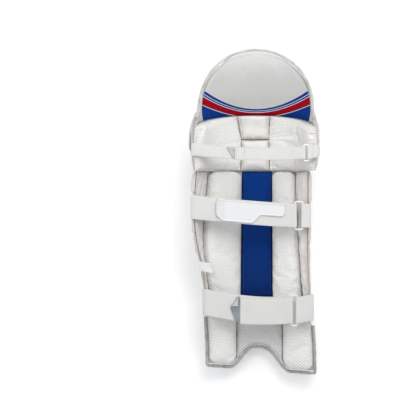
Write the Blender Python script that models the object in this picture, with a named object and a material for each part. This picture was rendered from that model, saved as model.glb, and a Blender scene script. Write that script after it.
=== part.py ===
"""A cricket batting pad that lies face down with its straps up.

Lengths are in metres. +X points right as seen from the leg side, +Y towards the top flap and +Z from
the floor to the leg side. The origin is on the floor, under the middle of the pad.
"""

import math
from collections.abc import Callable
from dataclasses import dataclass

import bmesh
import bpy
from mathutils import Vector

# Overall sizes
PAD_LENGTH = 0.732
HALF_WIDTH = 0.134
PAD_HEIGHT = 0.170

# Clearances between neighbouring pieces
SPLIT_GAP = 0.0006
LAYER_GAP = 0.0008
ROLL_SEAT = 0.0013
WING_SEAT = 0.0009
BINDING_CLEARANCE = 0.00084
BAND_STAND = 0.0011
BADGE_GAP = 0.0009

# Places along the pad, from its middle
TOE_LINE = -0.4797 * PAD_LENGTH
TOE_BULGE_PLACE = -0.4399 * PAD_LENGTH
WING_FOOT = -0.3511 * PAD_LENGTH
FOOT_BINDING_LEFT_TOP = -0.3251 * PAD_LENGTH
FOOT_BINDING_RIGHT_TOP = -0.3522 * PAD_LENGTH
ANKLE_PLACE = -0.2937 * PAD_LENGTH
FOOT_PLACE = -0.3415 * PAD_LENGTH
STRIP_END = -0.2623 * PAD_LENGTH
LABEL_PLACE = -0.1674 * PAD_LENGTH
KNEE_BREAK = 0.1253 * PAD_LENGTH
ROLL_LOWER_GROOVE = 0.1885 * PAD_LENGTH
BADGE_PLACE = 0.2118 * PAD_LENGTH
KNEE_SEAM = 0.2213 * PAD_LENGTH
ROLL_UPPER_GROOVE = 0.2418 * PAD_LENGTH
FLAP_BINDING_END = 0.2890 * PAD_LENGTH
KNEE_TOP_MIDDLE = 0.2958 * PAD_LENGTH
ROLL_TOP = 0.3060 * PAD_LENGTH
FLAP_SHOULDER = 0.3156 * PAD_LENGTH
FLAP_BOLSTER_SPLIT = 0.3579 * PAD_LENGTH
FLAP_BOLSTER_TOP = 0.4071 * PAD_LENGTH
FLAP_TOP = 0.4891 * PAD_LENGTH

# Front of the shin
RIB_DEPTH = 0.0165
RIB_EDGE = 0.005
TOE_BULGE = 0.0160
TOE_BULGE_REACH = 0.036
CENTRE_RIB_HALF = 0.024
FRONT_RIB_HALF = 0.068
WING_DEPTH = 0.0105
WING_EDGE = 0.0035
WING_START = 0.50

# Toe outline, with the arch over the instep
TOE_SLANT = -0.075
ARCH_PLACE = 0.0135
ARCH_HEIGHT = 0.0510
ARCH_HALF = 0.070
ARCH_FULLNESS = 1.4
TOE_GAP = 0.0012

# Knee roll, a thick roll at the front that thins to two side panels
ROLL_FRONT_DEPTH = 0.036
ROLL_UPPER_DEPTH = 0.024
ROLL_SIDE_DEPTH = 0.0125
ROLL_EDGE = 0.008
ROLL_SIDE_TOP = 0.93
ROLL_SIDE_BOTTOM = 0.83
ROLL_GROOVE_WIDTH = 0.0012
ROLL_COLUMN = 7.5

# Bare shield on the outer side panel of the knee roll
BADGE_WIDTH = 0.056
BADGE_HEIGHT = 0.060
BADGE_POINT = 0.016
BADGE_DEPTH = 0.0022
BADGE_AROUND = 0.69

# Leg side padding
KNEE_PAD_DEPTH = 0.024
KNEE_TOP_FALL = 0.026
BOLSTER_DEPTH = 0.027
STRIP_DEPTH = 0.012
STRIP_EDGE = 0.004
INNER_EDGE = 0.009
LINING_DEPTH = 0.005
LINING_EDGE = 0.003
SIDE_PAD_DEPTH = 0.014
SIDE_PAD_EDGE = 0.004

# Top flap, whose outline is half an ellipse above its shoulder
FLAP_SHARE = 0.94
FLAP_HALF_WIDTH = FLAP_SHARE * HALF_WIDTH
FLAP_TURN = 76.0
FLAP_LINING_DEPTH = 0.005
FLAP_RIB_DEPTH = 0.024
FLAP_BOLSTER_DEPTH = 0.010
FLAP_RIB_SHARE = 0.18
FLAP_SIDE_SHARE = 0.56
BINDING_RADIUS = 0.0036

# Straps: woven bands, each fastened round a ring and back on itself
KNEE_STRAP_WIDTH = 0.028
CALF_STRAP_WIDTH = 0.054
ANKLE_STRAP_WIDTH = 0.060
BAND_DEPTH = 0.0020
BAND_GAP = 0.0004
BAND_CORNER = 0.012
BAND_SETTLE = 0.016
TETHER_CORNER = 0.009
TETHER_FOLD = 0.006
KNEE_RING_WIDTH = 0.016
CALF_RING_WIDTH = 0.021
ANKLE_RING_WIDTH = 0.018
RING_WIRE = 0.0019
RING_CLEARANCE = 0.0004
RING_CORNER = 0.0045

# Grey tabs beside the free ends of the knee and ankle straps
HOOK_TAB_DEPTH = 0.0018
HOOK_TAB_GAP = 0.0006
HOOK_TAB_INSET = 0.0008
KNEE_TAB_LENGTH = 0.0160
ANKLE_TAB_LENGTH = 0.0215

# Moulded end of the calf strap, a wide block with a narrower tongue
STRAP_END_DEPTH = 0.0028
STRAP_END_LAP = 0.0025
STRAP_END_HALF = 0.0245
STRAP_END_CORNER = 0.009
BLOCK_LENGTH = 0.0795
BLOCK_STEP = 0.010
TONGUE_LENGTH = 0.066
TONGUE_LOW = 0.002

# Blank label at the edge of the outer wing
LABEL_DEPTH = 0.0008
LABEL_HEIGHT = 0.023
LABEL_REACH = 0.021
LABEL_LIFT = 0.009

WHITE_LEATHER = ("white coated leather", (0.84, 0.84, 0.81), 0.42, 0.0)
WHITE_MESH = ("white spacer mesh", (0.80, 0.79, 0.75), 0.85, 0.0)
BLUE_MESH = ("blue spacer mesh", (0.012, 0.06, 0.24), 0.8, 0.0)
WEBBING = ("white webbing", (0.85, 0.85, 0.81), 0.75, 0.0)
WHITE_PLASTIC = ("white plastic", (0.88, 0.88, 0.86), 0.35, 0.0)
WHITE_RUBBER = ("white rubber", (0.86, 0.86, 0.85), 0.5, 0.0)
GREY_BINDING = ("grey binding", (0.24, 0.26, 0.25), 0.7, 0.0)
GREY_HOOK = ("grey hook tape", (0.32, 0.36, 0.39), 0.8, 0.0)

Finish = tuple[str, tuple[float, float, float], float, float]
Depth = Callable[[float, float], float]


@dataclass(frozen=True)
class Station:
    """One cross-section of the pad's shell, a U that opens upwards.

    along is a share of PAD_LENGTH from the middle; axis, left and right are shares of HALF_WIDTH;
    front, left_rise and right_rise are shares of PAD_HEIGHT; turn is in degrees, from the front of
    the U to each edge.
    """

    along: float
    axis: float
    left: float
    right: float
    front: float
    left_rise: float
    right_rise: float
    turn: float


SHIN_STATIONS = (
    Station(-0.500, 0.108, 0.868, 0.900, 0.160, 0.082, 0.082, 40),
    Station(-0.410, 0.100, 0.868, 0.898, 0.153, 0.082, 0.082, 40),
    Station(-0.328, 0.078, 0.873, 0.888, 0.159, 0.129, 0.118, 48),
    Station(-0.262, 0.068, 0.881, 0.880, 0.171, 0.212, 0.176, 60),
    Station(-0.186, 0.056, 0.915, 0.860, 0.182, 0.341, 0.262, 74),
    Station(-0.075, 0.048, 1.025, 0.855, 0.194, 0.541, 0.355, 86),
    Station(0.000, 0.046, 1.046, 0.857, 0.206, 0.571, 0.376, 88),
    Station(0.060, 0.045, 1.035, 0.862, 0.218, 0.515, 0.394, 88),
    Station(0.126, 0.036, 1.000, 0.872, 0.224, 0.471, 0.406, 88),
)

UPPER_STATIONS = (
    Station(0.125, 0.012, 1.005, 1.000, 0.206, 0.635, 0.600, 90),
    Station(0.167, 0.014, 1.022, 1.030, 0.190, 0.665, 0.640, 90),
    Station(0.219, 0.014, 1.026, 1.034, 0.190, 0.671, 0.650, 90),
    Station(0.273, 0.018, 1.005, 1.000, 0.224, 0.665, 0.640, 89),
    Station(0.316, 0.026, 0.946, 0.940, 0.376, 0.530, 0.520, 84),
    Station(0.361, 0.033, FLAP_SHARE, FLAP_SHARE, 0.553, 0.424, 0.424, FLAP_TURN),
    Station(0.440, 0.033, FLAP_SHARE, FLAP_SHARE, 0.788, 0.459, 0.459, FLAP_TURN),
    Station(0.474, 0.033, FLAP_SHARE, FLAP_SHARE, 0.841, 0.471, 0.471, FLAP_TURN),
    Station(0.500, 0.033, FLAP_SHARE, FLAP_SHARE, 0.865, 0.471, 0.471, FLAP_TURN),
)


@dataclass(frozen=True)
class Section:
    """The sizes of the U at one place along the pad, in metres and radians."""

    axis: float
    left: float
    right: float
    front: float
    left_rise: float
    right_rise: float
    turn: float


class Shell:
    """The hidden surface between the outer and the leg side padding."""

    def __init__(self, stations: tuple[Station, ...]) -> None:
        self.stations = stations

    def column(self, name: str, along: float) -> float:
        """A station value at a share of the length, on a smooth curve through the stations."""
        rows = self.stations
        index = 0
        while index < len(rows) - 2 and along > rows[index + 1].along:
            index += 1
        values = [getattr(row, name) for row in rows]
        slopes = []
        for k in (index, index + 1):
            before, after = max(k - 1, 0), min(k + 1, len(rows) - 1)
            slopes.append((values[after] - values[before]) / (rows[after].along - rows[before].along))
        span = rows[index + 1].along - rows[index].along
        t = min(max((along - rows[index].along) / span, 0.0), 1.0)
        return (
            (2 * t**3 - 3 * t**2 + 1) * values[index]
            + (t**3 - 2 * t**2 + t) * span * slopes[0]
            + (3 * t**2 - 2 * t**3) * values[index + 1]
            + (t**3 - t**2) * span * slopes[1]
        )

    def section(self, y: float) -> Section:
        along = y / PAD_LENGTH
        return Section(
            axis=self.column("axis", along) * HALF_WIDTH,
            left=self.column("left", along) * HALF_WIDTH,
            right=self.column("right", along) * HALF_WIDTH,
            front=self.column("front", along) * PAD_HEIGHT,
            left_rise=self.column("left_rise", along) * PAD_HEIGHT,
            right_rise=self.column("right_rise", along) * PAD_HEIGHT,
            turn=math.radians(self.column("turn", along)),
        )

    def point(self, around: float, y: float, depth: float = 0.0) -> Vector:
        """A point of the shell.

        around runs from -1 at the left edge to 1 at the right edge. depth moves the point out of the
        shell within its cross-section, towards the front if positive.
        """
        cut = self.section(y)
        side = -1.0 if around < 0 else 1.0
        half, rise = (cut.left, cut.left_rise) if around < 0 else (cut.right, cut.right_rise)
        angle = abs(around) * cut.turn
        width_scale = half / math.sin(cut.turn)
        rise_scale = rise / (1 - math.cos(cut.turn))
        out = Vector((side * rise_scale * math.sin(angle), 0.0, -width_scale * math.cos(angle)))
        out.normalize()
        place = Vector((cut.axis + side * width_scale * math.sin(angle), y, 0.0))
        place.z = cut.front + rise_scale * (1 - math.cos(angle))
        place += depth * out
        place.z = max(place.z, 0.0)
        return place

    def edge(self, side: float, y: float, beyond: float = 0.0) -> Vector:
        """A point on the left (-1) or right (1) edge, or beyond it along the shell."""
        cut = self.section(y)
        step = Vector((side * math.cos(cut.turn), 0.0, math.sin(cut.turn)))
        return self.point(side, y) + beyond * step

    def around(self, x: float, y: float) -> float:
        """The place around the shell of a point x to the right of the origin, at most its edge."""
        cut = self.section(y)
        half = cut.left if x < cut.axis else cut.right
        share = min(max((x - cut.axis) / half, -1.0), 1.0)
        return math.asin(share * math.sin(cut.turn)) / cut.turn


SHIN = Shell(SHIN_STATIONS)
UPPER = Shell(UPPER_STATIONS)


def mix(low: float, high: float, share: float) -> float:
    return low + (high - low) * share


def gathered(share: float, crowd: float) -> float:
    """Moves evenly spaced shares towards 0 and 1, not at all for a crowd of 0."""
    return mix(share, 0.5 - 0.5 * math.cos(math.pi * share), crowd)


def crown(share: float, power: float = 4.0) -> float:
    """The height of a padded crown across its width: 0 at both borders and 1 in the middle."""
    return math.sqrt(max(0.0, 1.0 - abs(2.0 * share - 1.0) ** power))


def ramp(value: float, low: float, high: float) -> float:
    """0 below low, 1 above high and straight between them."""
    return min(max((value - low) / (high - low), 0.0), 1.0)


def toe_line(x: float) -> float:
    """The place along the pad of its toe end, with the arch over the instep."""
    reach = min(abs(x - ARCH_PLACE) / ARCH_HALF, 1.0) ** ARCH_FULLNESS
    return TOE_LINE + TOE_SLANT * x + ARCH_HEIGHT * math.cos(0.5 * math.pi * reach) ** 2


def toe_end(x_at: Callable[[float], float]) -> float:
    """Where a line down the pad, whose x is x_at(y), ends just short of the toe line."""
    y = TOE_LINE
    for _ in range(12):
        y = 0.5 * (y + toe_line(x_at(y)) + TOE_GAP)
    return y


def flap_around(share: float) -> float:
    """The place around the shell of a share of the flap's half width."""
    return math.asin(share * math.sin(math.radians(FLAP_TURN))) / math.radians(FLAP_TURN)


def flap_line(share: float, beyond: float = 0.0) -> float:
    """The place along the pad of the flap's top edge, at a share of its half width."""
    return FLAP_SHOULDER + (FLAP_TOP - FLAP_SHOULDER + beyond) * math.sqrt(max(0.0, 1.0 - share * share))


def material(finish: Finish) -> bpy.types.Material:
    """A Principled material of its own for one piece."""
    label, colour, roughness, metallic = finish
    made = bpy.data.materials.new(label)
    made.use_nodes = True
    shader = made.node_tree.nodes["Principled BSDF"]
    shader.inputs["Base Color"].default_value = (*colour, 1.0)
    shader.inputs["Roughness"].default_value = roughness
    shader.inputs["Metallic"].default_value = metallic
    return made


def add_mesh(name: str, mesh: bmesh.types.BMesh, finish: Finish) -> bpy.types.Object:
    """Turns a bmesh into a smooth shaded object with its own material."""
    bmesh.ops.recalc_face_normals(mesh, faces=list(mesh.faces))
    if mesh.calc_volume(signed=True) < 0.0:
        bmesh.ops.reverse_faces(mesh, faces=list(mesh.faces))
    data = bpy.data.meshes.new(name)
    mesh.to_mesh(data)
    mesh.free()
    data.shade_smooth()
    data.set_sharp_from_angle(angle=math.radians(40))
    data.materials.append(material(finish))
    piece = bpy.data.objects.new(name, data)
    bpy.context.collection.objects.link(piece)
    return piece


def slab(
    name: str,
    surface: Callable[[float, float, float], Vector],
    near: Depth,
    far: Depth,
    grid: tuple[int, int],
    finish: Finish,
    crowd: tuple[float, float] = (1.0, 1.0),
) -> bpy.types.Object:
    """One closed solid between two depths of a surface.

    surface gives the point at a share across, a share along and a depth. grid gives the columns and
    rows, and crowd how far they gather towards the borders, where the padding rounds over.
    """
    mesh = bmesh.new()
    bmesh.ops.create_grid(mesh, x_segments=grid[0], y_segments=grid[1], size=0.5)
    near_points = list(mesh.verts)
    grown = bmesh.ops.extrude_face_region(mesh, geom=list(mesh.faces))
    far_points = [item for item in grown["geom"] if isinstance(item, bmesh.types.BMVert)]
    for points, depth in ((near_points, near), (far_points, far)):
        for point in points:
            across = gathered(point.co.x + 0.5, crowd[0])
            along = gathered(point.co.y + 0.5, crowd[1])
            point.co = surface(across, along, depth(across, along))
    return add_mesh(name, mesh, finish)


def outer_pad(edge: float, full: float) -> Depth:
    """The outer face of a crowned pad on the front of the shell."""
    return lambda p, q: edge + (full - edge) * crown(p) * crown(q, 8.0)


def inner_pad(edge: float, full: float) -> Depth:
    """The outer face of a crowned pad on the leg side of the shell."""
    return lambda p, q: -(edge + (full - edge) * crown(p) * crown(q, 8.0))


def on_front(p: float, q: float) -> float:
    return 0.5 * LAYER_GAP


def wing_seat(p: float, q: float) -> float:
    return WING_SEAT


def roll_seat(p: float, q: float) -> float:
    return ROLL_SEAT


def on_leg_side(p: float, q: float) -> float:
    return -0.5 * LAYER_GAP


def tube(name: str, route: list[Vector], radius: float, finish: Finish, closed: bool, sides: int) -> None:
    """A round cord along a route, with filled ends unless it is closed."""
    curve = bpy.data.curves.new(name, "CURVE")
    curve.dimensions = "3D"
    curve.bevel_depth = radius
    curve.bevel_resolution = sides // 2 - 2
    curve.use_fill_caps = not closed
    spline = curve.splines.new("POLY")
    spline.points.add(len(route) - 1)
    for point, place in zip(spline.points, route):
        point.co = (*place, 1.0)
    spline.use_cyclic_u = closed
    curve.materials.append(material(finish))
    bpy.context.collection.objects.link(bpy.data.objects.new(name, curve))


# Front of the shin


def wing_border(y: float) -> float:
    """Where the wing starts around the shell; it narrows away above the foot."""
    return mix(1.0, WING_START, math.sin(0.5 * math.pi * ramp(y, WING_FOOT, 0.0)))


def shin_rib(name: str, left: Callable[[float], float], right: Callable[[float], float]) -> None:
    """One long rib down the front, between two borders that may move along the pad."""

    def place(p: float, q: float, depth: float) -> Vector:
        bottom = toe_end(lambda y: SHIN.point(mix(left(y), right(y), p), y).x)
        y = mix(bottom, KNEE_BREAK - 0.5 * SPLIT_GAP, q)
        gap = 0.5 * SPLIT_GAP / HALF_WIDTH
        return SHIN.point(mix(left(y) + gap, right(y) - gap, p), y, depth)

    def face(p: float, q: float) -> float:
        y = mix(TOE_LINE, KNEE_BREAK, q)
        swell = TOE_BULGE * max(0.0, 1.0 - abs(y - TOE_BULGE_PLACE) / TOE_BULGE_REACH)
        return RIB_EDGE + (RIB_DEPTH + swell - RIB_EDGE) * crown(p) * crown(q, 24.0)

    slab(name, place, on_front, face, (5, 18), WHITE_LEATHER, crowd=(1.0, 0.3))


def front_border(side: float, half: float) -> Callable[[float], float]:
    return lambda y: SHIN.around(SHIN.section(y).axis + side * half, y)


def shin_ribs() -> None:
    centre_left, centre_right = front_border(-1, CENTRE_RIB_HALF), front_border(1, CENTRE_RIB_HALF)
    front_left, front_right = front_border(-1, FRONT_RIB_HALF), front_border(1, FRONT_RIB_HALF)
    shin_rib("shin_rib_centre", centre_left, centre_right)
    shin_rib("shin_rib_left", front_left, centre_left)
    shin_rib("shin_rib_right", centre_right, front_right)
    shin_rib("side_rib_left", lambda y: -wing_border(y), front_left)
    shin_rib("side_rib_right", front_right, wing_border)


@dataclass(frozen=True)
class Groove:
    """A slanting groove of a wing: its places at the ribs and at the wing's edge, in pad lengths."""

    at_ribs: float
    at_edge: float


WING_TOP = Groove(KNEE_BREAK / PAD_LENGTH, KNEE_BREAK / PAD_LENGTH)
WING_TOE = Groove(-0.3415, -0.3361)
LEFT_GROOVES = (
    WING_TOP,
    Groove(0.0055, 0.0587),
    Groove(-0.0492, 0.0205),
    Groove(-0.1339, -0.0642),
    Groove(-0.1872, -0.1339),
    WING_TOE,
)
RIGHT_GROOVES = (
    WING_TOP,
    Groove(-0.0273, 0.0273),
    Groove(-0.1503, -0.0956),
    WING_TOE,
)


def wing(name: str, side: float, grooves: tuple[Groove, ...]) -> None:
    """The panels of one wing, from the knee down."""
    for number, (upper, lower) in enumerate(zip(grooves, grooves[1:]), start=1):

        def place(p: float, q: float, depth: float) -> Vector:
            top = mix(upper.at_ribs, upper.at_edge, p) * PAD_LENGTH - SPLIT_GAP
            bottom = mix(lower.at_ribs, lower.at_edge, p) * PAD_LENGTH + SPLIT_GAP
            y = mix(bottom, top, q)
            inner = wing_border(y) + 1.5 * SPLIT_GAP / HALF_WIDTH
            return SHIN.point(side * mix(inner, 1.0, p), y, depth)

        slab(
            f"{name}_{number}", place, wing_seat, outer_pad(WING_EDGE, WING_DEPTH), (5, 6), WHITE_LEATHER
        )


# Knee roll


def roll_upper_border(turned: float) -> float:
    """The groove above the middle roll, at degrees around from the front."""
    return mix(ROLL_UPPER_GROOVE, ROLL_TOP, ramp(abs(turned), 2 * ROLL_COLUMN, 8 * ROLL_COLUMN))


def roll_lower_border(turned: float) -> float:
    """The groove below the middle roll, at degrees around from the front."""
    bottom = KNEE_BREAK + 0.5 * SPLIT_GAP
    return mix(ROLL_LOWER_GROOVE, bottom, ramp(abs(turned), 3 * ROLL_COLUMN, 6 * ROLL_COLUMN))


def roll_depth(around: float, front_depth: float = ROLL_FRONT_DEPTH) -> float:
    front_share = math.cos(0.5 * math.pi * min(abs(around), 1.0)) ** 2
    return mix(ROLL_SIDE_DEPTH, front_depth, front_share)


def roll_part(
    name: str,
    columns: int,
    low: Callable[[float], float],
    high: Callable[[float], float],
    rows: int,
    front_depth: float = ROLL_FRONT_DEPTH,
) -> None:
    """One bolster of the knee roll, whose borders follow the way around the front.

    Every bolster has its corners on columns ROLL_COLUMN degrees apart, so that neighbours match.
    """
    half_turn = 0.5 * columns * ROLL_COLUMN
    side_start = 60.0

    def turned(p: float) -> float:
        return mix(-half_turn, half_turn, p)

    def place(p: float, q: float, depth: float) -> Vector:
        y = mix(low(turned(p)), high(turned(p)), q)
        side_reach = mix(ROLL_SIDE_BOTTOM, ROLL_SIDE_TOP, ramp(y, KNEE_BREAK, ROLL_TOP))
        past = max(abs(turned(p)) - side_start, 0.0) / (90.0 - side_start)
        degrees = min(abs(turned(p)), side_start) + past * (90.0 * side_reach - side_start)
        return UPPER.point(math.copysign(degrees / 90.0, turned(p)), y, depth)

    def face(p: float, q: float) -> float:
        depth = roll_depth(turned(p) / 90.0, front_depth)
        return ROLL_EDGE + (depth - ROLL_EDGE) * crown(p, 12.0) * crown(q, 5.0)

    slab(name, place, roll_seat, face, (columns, rows), WHITE_LEATHER, crowd=(0.0, 0.7))


def knee_roll() -> None:
    bottom = KNEE_BREAK + 0.5 * SPLIT_GAP
    above, below = ROLL_GROOVE_WIDTH, -ROLL_GROOVE_WIDTH
    roll_part(
        "knee_roll_upper", 14, lambda t: roll_upper_border(t) + above, lambda t: ROLL_TOP, 4, ROLL_UPPER_DEPTH
    )
    roll_part("knee_roll_middle", 24, roll_lower_border, roll_upper_border, 6)
    roll_part("knee_roll_lower", 10, lambda t: bottom, lambda t: roll_lower_border(t) + below, 4)


def knee_badge() -> None:
    """A bare shield with its point towards the foot, on the outer side panel."""

    def place(p: float, q: float, depth: float) -> Vector:
        lower = BADGE_PLACE - 0.5 * BADGE_HEIGHT + BADGE_POINT * abs(2.0 * p - 1.0)
        y = mix(lower, BADGE_PLACE + 0.5 * BADGE_HEIGHT, q)
        arc = HALF_WIDTH * 0.5 * math.pi
        around = -BADGE_AROUND - (0.5 - p) * BADGE_WIDTH / arc
        return UPPER.point(around, y, roll_depth(around) + BADGE_GAP + depth)

    slab("knee_badge", place, lambda p, q: 0.0, lambda p, q: BADGE_DEPTH, (4, 2), WHITE_RUBBER, (0.0, 0.0))


# Top flap


def flap_piece(
    name: str,
    shares: tuple[float, float],
    low: Callable[[float], float],
    high: Callable[[float], float],
    depths: tuple[Depth, Depth],
    grid: tuple[int, int],
    finish: Finish = WHITE_LEATHER,
) -> None:
    """A panel of the flap between two shares of its half width and two lines across it."""
    start, stop = (math.asin(share) for share in shares)

    def place(p: float, q: float, depth: float) -> Vector:
        share = math.sin(mix(start, stop, p))
        y = mix(low(share), high(share), q)
        return UPPER.point(flap_around(share), y, depth)

    slab(name, place, depths[0], depths[1], grid, finish, crowd=(0.0, 0.3))


def knee_top(around: float) -> float:
    """The top edge of the leg side knee padding, which falls towards both sides."""
    return KNEE_TOP_MIDDLE - KNEE_TOP_FALL * around * around


def top_flap() -> None:
    flap_piece(
        "flap_lining",
        (-1.0, 1.0),
        lambda share: knee_top(flap_around(share)) + SPLIT_GAP,
        flap_line,
        (on_leg_side, inner_pad(0.5 * FLAP_LINING_DEPTH, FLAP_LINING_DEPTH)),
        (14, 9),
    )
    base = ROLL_TOP + 2.0 * SPLIT_GAP
    rib_borders = (-FLAP_SIDE_SHARE, -FLAP_RIB_SHARE, FLAP_RIB_SHARE, FLAP_SIDE_SHARE)
    gap = 0.5 * SPLIT_GAP / FLAP_HALF_WIDTH
    for name, left, right in zip(("left", "centre", "right"), rib_borders, rib_borders[1:]):
        flap_piece(
            f"flap_rib_{name}",
            (left + gap, right - gap),
            lambda share: base,
            lambda share: flap_line(share) - SPLIT_GAP,
            (wing_seat, outer_pad(RIB_EDGE, FLAP_RIB_DEPTH)),
            (5, 10),
        )
    for side, name in ((-1, "left"), (1, "right")):
        near_rib = FLAP_SIDE_SHARE + gap
        for level, low, high, reach in (
            ("lower", base, FLAP_BOLSTER_SPLIT, 0.985),
            ("upper", FLAP_BOLSTER_SPLIT + SPLIT_GAP, FLAP_BOLSTER_TOP, 0.950),
        ):
            shares = (near_rib, reach) if side > 0 else (-reach, -near_rib)
            flap_piece(
                f"flap_bolster_{name}_{level}",
                shares,
                lambda share, low=low: low,
                lambda share, high=high: min(high, flap_line(share) - SPLIT_GAP),
                (wing_seat, outer_pad(WING_EDGE, FLAP_BOLSTER_DEPTH)),
                (5, 4),
            )
    flap_binding()


def flap_binding() -> None:
    """The rolled binding round the flap's free edge, from knee to knee."""
    beyond = BINDING_RADIUS + BINDING_CLEARANCE
    steps = 24
    route = [UPPER.edge(-1.0, FLAP_BINDING_END, beyond)]
    for step in range(steps + 1):
        share = math.sin(mix(-0.5, 0.5, step / steps) * math.pi)
        y = flap_line(share, beyond)
        turned = flap_around(share) * UPPER.section(y).turn
        outward = Vector((math.cos(turned), 0.0, math.sin(turned)))
        route.append(UPPER.point(flap_around(share), y) + share * beyond * outward)
    route.append(UPPER.edge(1.0, FLAP_BINDING_END, beyond))
    tube("flap_binding", route, BINDING_RADIUS, WHITE_LEATHER, closed=False, sides=6)


# Leg side padding


@dataclass(frozen=True)
class KneePadBorder:
    """A side border of the smooth knee pads, in half widths: up to the seam and at the top edge."""

    seam: float
    top: float

    def around(self, y: float) -> float:
        share = mix(self.seam, self.top, ramp(y, KNEE_SEAM, KNEE_TOP_MIDDLE))
        return UPPER.around(share * HALF_WIDTH, y)


KNEE_PAD_LEFT = KneePadBorder(seam=-0.235, top=-0.310)
KNEE_PAD_RIGHT = KneePadBorder(seam=0.280, top=0.287)


def knee_padding() -> None:
    """Two mesh bolsters that wrap to the edges, and two smooth pads between them."""
    bottom = KNEE_BREAK + 0.5 * SPLIT_GAP
    gap = 0.5 * SPLIT_GAP
    step = gap / HALF_WIDTH

    def knee_piece(
        name: str,
        left: Callable[[float], float],
        right: Callable[[float], float],
        low: float,
        high: Callable[[float], float],
        depth: float,
        grid: tuple[int, int],
        finish: Finish,
    ) -> None:
        def place(p: float, q: float, offset: float) -> Vector:
            guess = mix(low, KNEE_TOP_MIDDLE, q)
            around = mix(left(guess), right(guess), p)
            y = mix(low, high(around), q)
            return UPPER.point(mix(left(y), right(y), p), y, offset)

        slab(name, place, on_leg_side, inner_pad(INNER_EDGE, depth), grid, finish)

    knee_piece(
        "knee_bolster_left",
        lambda y: -1.0,
        lambda y: KNEE_PAD_LEFT.around(y) - step,
        bottom,
        knee_top,
        KNEE_PAD_DEPTH,
        (8, 6),
        WHITE_MESH,
    )
    knee_piece(
        "knee_bolster_right",
        lambda y: KNEE_PAD_RIGHT.around(y) + step,
        lambda y: 1.0,
        bottom,
        knee_top,
        KNEE_PAD_DEPTH,
        (8, 6),
        WHITE_MESH,
    )
    for name, low, high in (
        ("knee_pad_upper", KNEE_SEAM + gap, knee_top),
        ("knee_pad_lower", bottom, lambda around: KNEE_SEAM - gap),
    ):
        knee_piece(
            name,
            lambda y: KNEE_PAD_LEFT.around(y) + step,
            lambda y: KNEE_PAD_RIGHT.around(y) - step,
            low,
            high,
            KNEE_PAD_DEPTH,
            (4, 4),
            WHITE_LEATHER,
        )


@dataclass(frozen=True)
class LegPiece:
    """A long leg side piece: its left and right borders at three places, in half widths.

    The places are the knee, the ankle and the toe. A border that is -OUT or OUT runs to the shell's
    edge.
    """

    name: str
    left: tuple[float, float, float]
    right: tuple[float, float, float]
    depth: float
    edge: float
    columns: int
    rows: int
    finish: Finish
    toe: bool = True


OUT = 2.0
TOE_SPREAD = 0.224
FOOT_ROWS = 5
BOLSTER_ROWS = 16
LEG_PIECES = (
    LegPiece(
        "wing_lining_left",
        left=(-OUT, -OUT, -OUT),
        right=(-0.8246, -0.7836, -0.7761),
        depth=LINING_DEPTH,
        edge=LINING_EDGE,
        columns=4,
        rows=12,
        finish=WHITE_LEATHER,
        toe=False,
    ),
    LegPiece(
        "shin_bolster_left",
        left=(-0.8209, -0.7799, -OUT),
        right=(-0.2090, -0.2313, -0.2950),
        depth=BOLSTER_DEPTH,
        edge=INNER_EDGE,
        columns=5,
        rows=BOLSTER_ROWS,
        finish=WHITE_MESH,
    ),
    LegPiece(
        "shin_bolster_right",
        left=(0.3172, 0.3246, 0.4920),
        right=(0.7239, 0.8358, OUT),
        depth=BOLSTER_DEPTH,
        edge=INNER_EDGE,
        columns=5,
        rows=BOLSTER_ROWS,
        finish=WHITE_MESH,
    ),
    LegPiece(
        "wing_lining_right",
        left=(0.7299, 0.8418, 0.8955),
        right=(OUT, OUT, OUT),
        depth=SIDE_PAD_DEPTH,
        edge=SIDE_PAD_EDGE,
        columns=4,
        rows=12,
        finish=WHITE_LEATHER,
        toe=False,
    ),
)


def border_at(places: tuple[float, float, float], y: float) -> float:
    """The place around the shell of a border: straight from knee to ankle, and past the foot place again."""
    knee, ankle, toe = places
    if abs(knee) == OUT:
        return math.copysign(1.0, knee)
    if abs(toe) == OUT:
        toe = ankle + math.copysign(TOE_SPREAD, toe)
    if y > ANKLE_PLACE:
        share = mix(ankle, knee, ramp(y, ANKLE_PLACE, KNEE_BREAK))
    else:
        share = mix(ankle, toe, ramp(-y, -ANKLE_PLACE, -FOOT_PLACE))
    return SHIN.around(share * HALF_WIDTH, y)


def along_foot(bottom: float, top: float, q: float, rows: int) -> float:
    """The place along a piece that reaches the toe, with the same rows below the ankle as its neighbours."""
    below = FOOT_ROWS / rows
    if q < below:
        return mix(bottom, ANKLE_PLACE, q / below)
    return mix(ANKLE_PLACE, top, (q - below) / (1.0 - below))


def leg_piece(piece: LegPiece) -> None:
    """Builds one long leg side piece."""
    top = KNEE_BREAK - 0.5 * SPLIT_GAP
    gap = 0.5 * SPLIT_GAP / HALF_WIDTH

    def around(p: float, y: float) -> float:
        return mix(border_at(piece.left, y) + gap, border_at(piece.right, y) - gap, p)

    def place(p: float, q: float, depth: float) -> Vector:
        if piece.toe:
            y = along_foot(toe_end(lambda y: SHIN.point(around(p, y), y).x), top, q, piece.rows)
        else:
            y = mix(ANKLE_PLACE, top, q)
        return SHIN.point(around(p, y), y, depth)

    slab(
        piece.name,
        place,
        on_leg_side,
        inner_pad(piece.edge, piece.depth),
        (piece.columns, piece.rows),
        piece.finish,
        crowd=(1.0, 0.0 if piece.toe else 0.3),
    )


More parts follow.
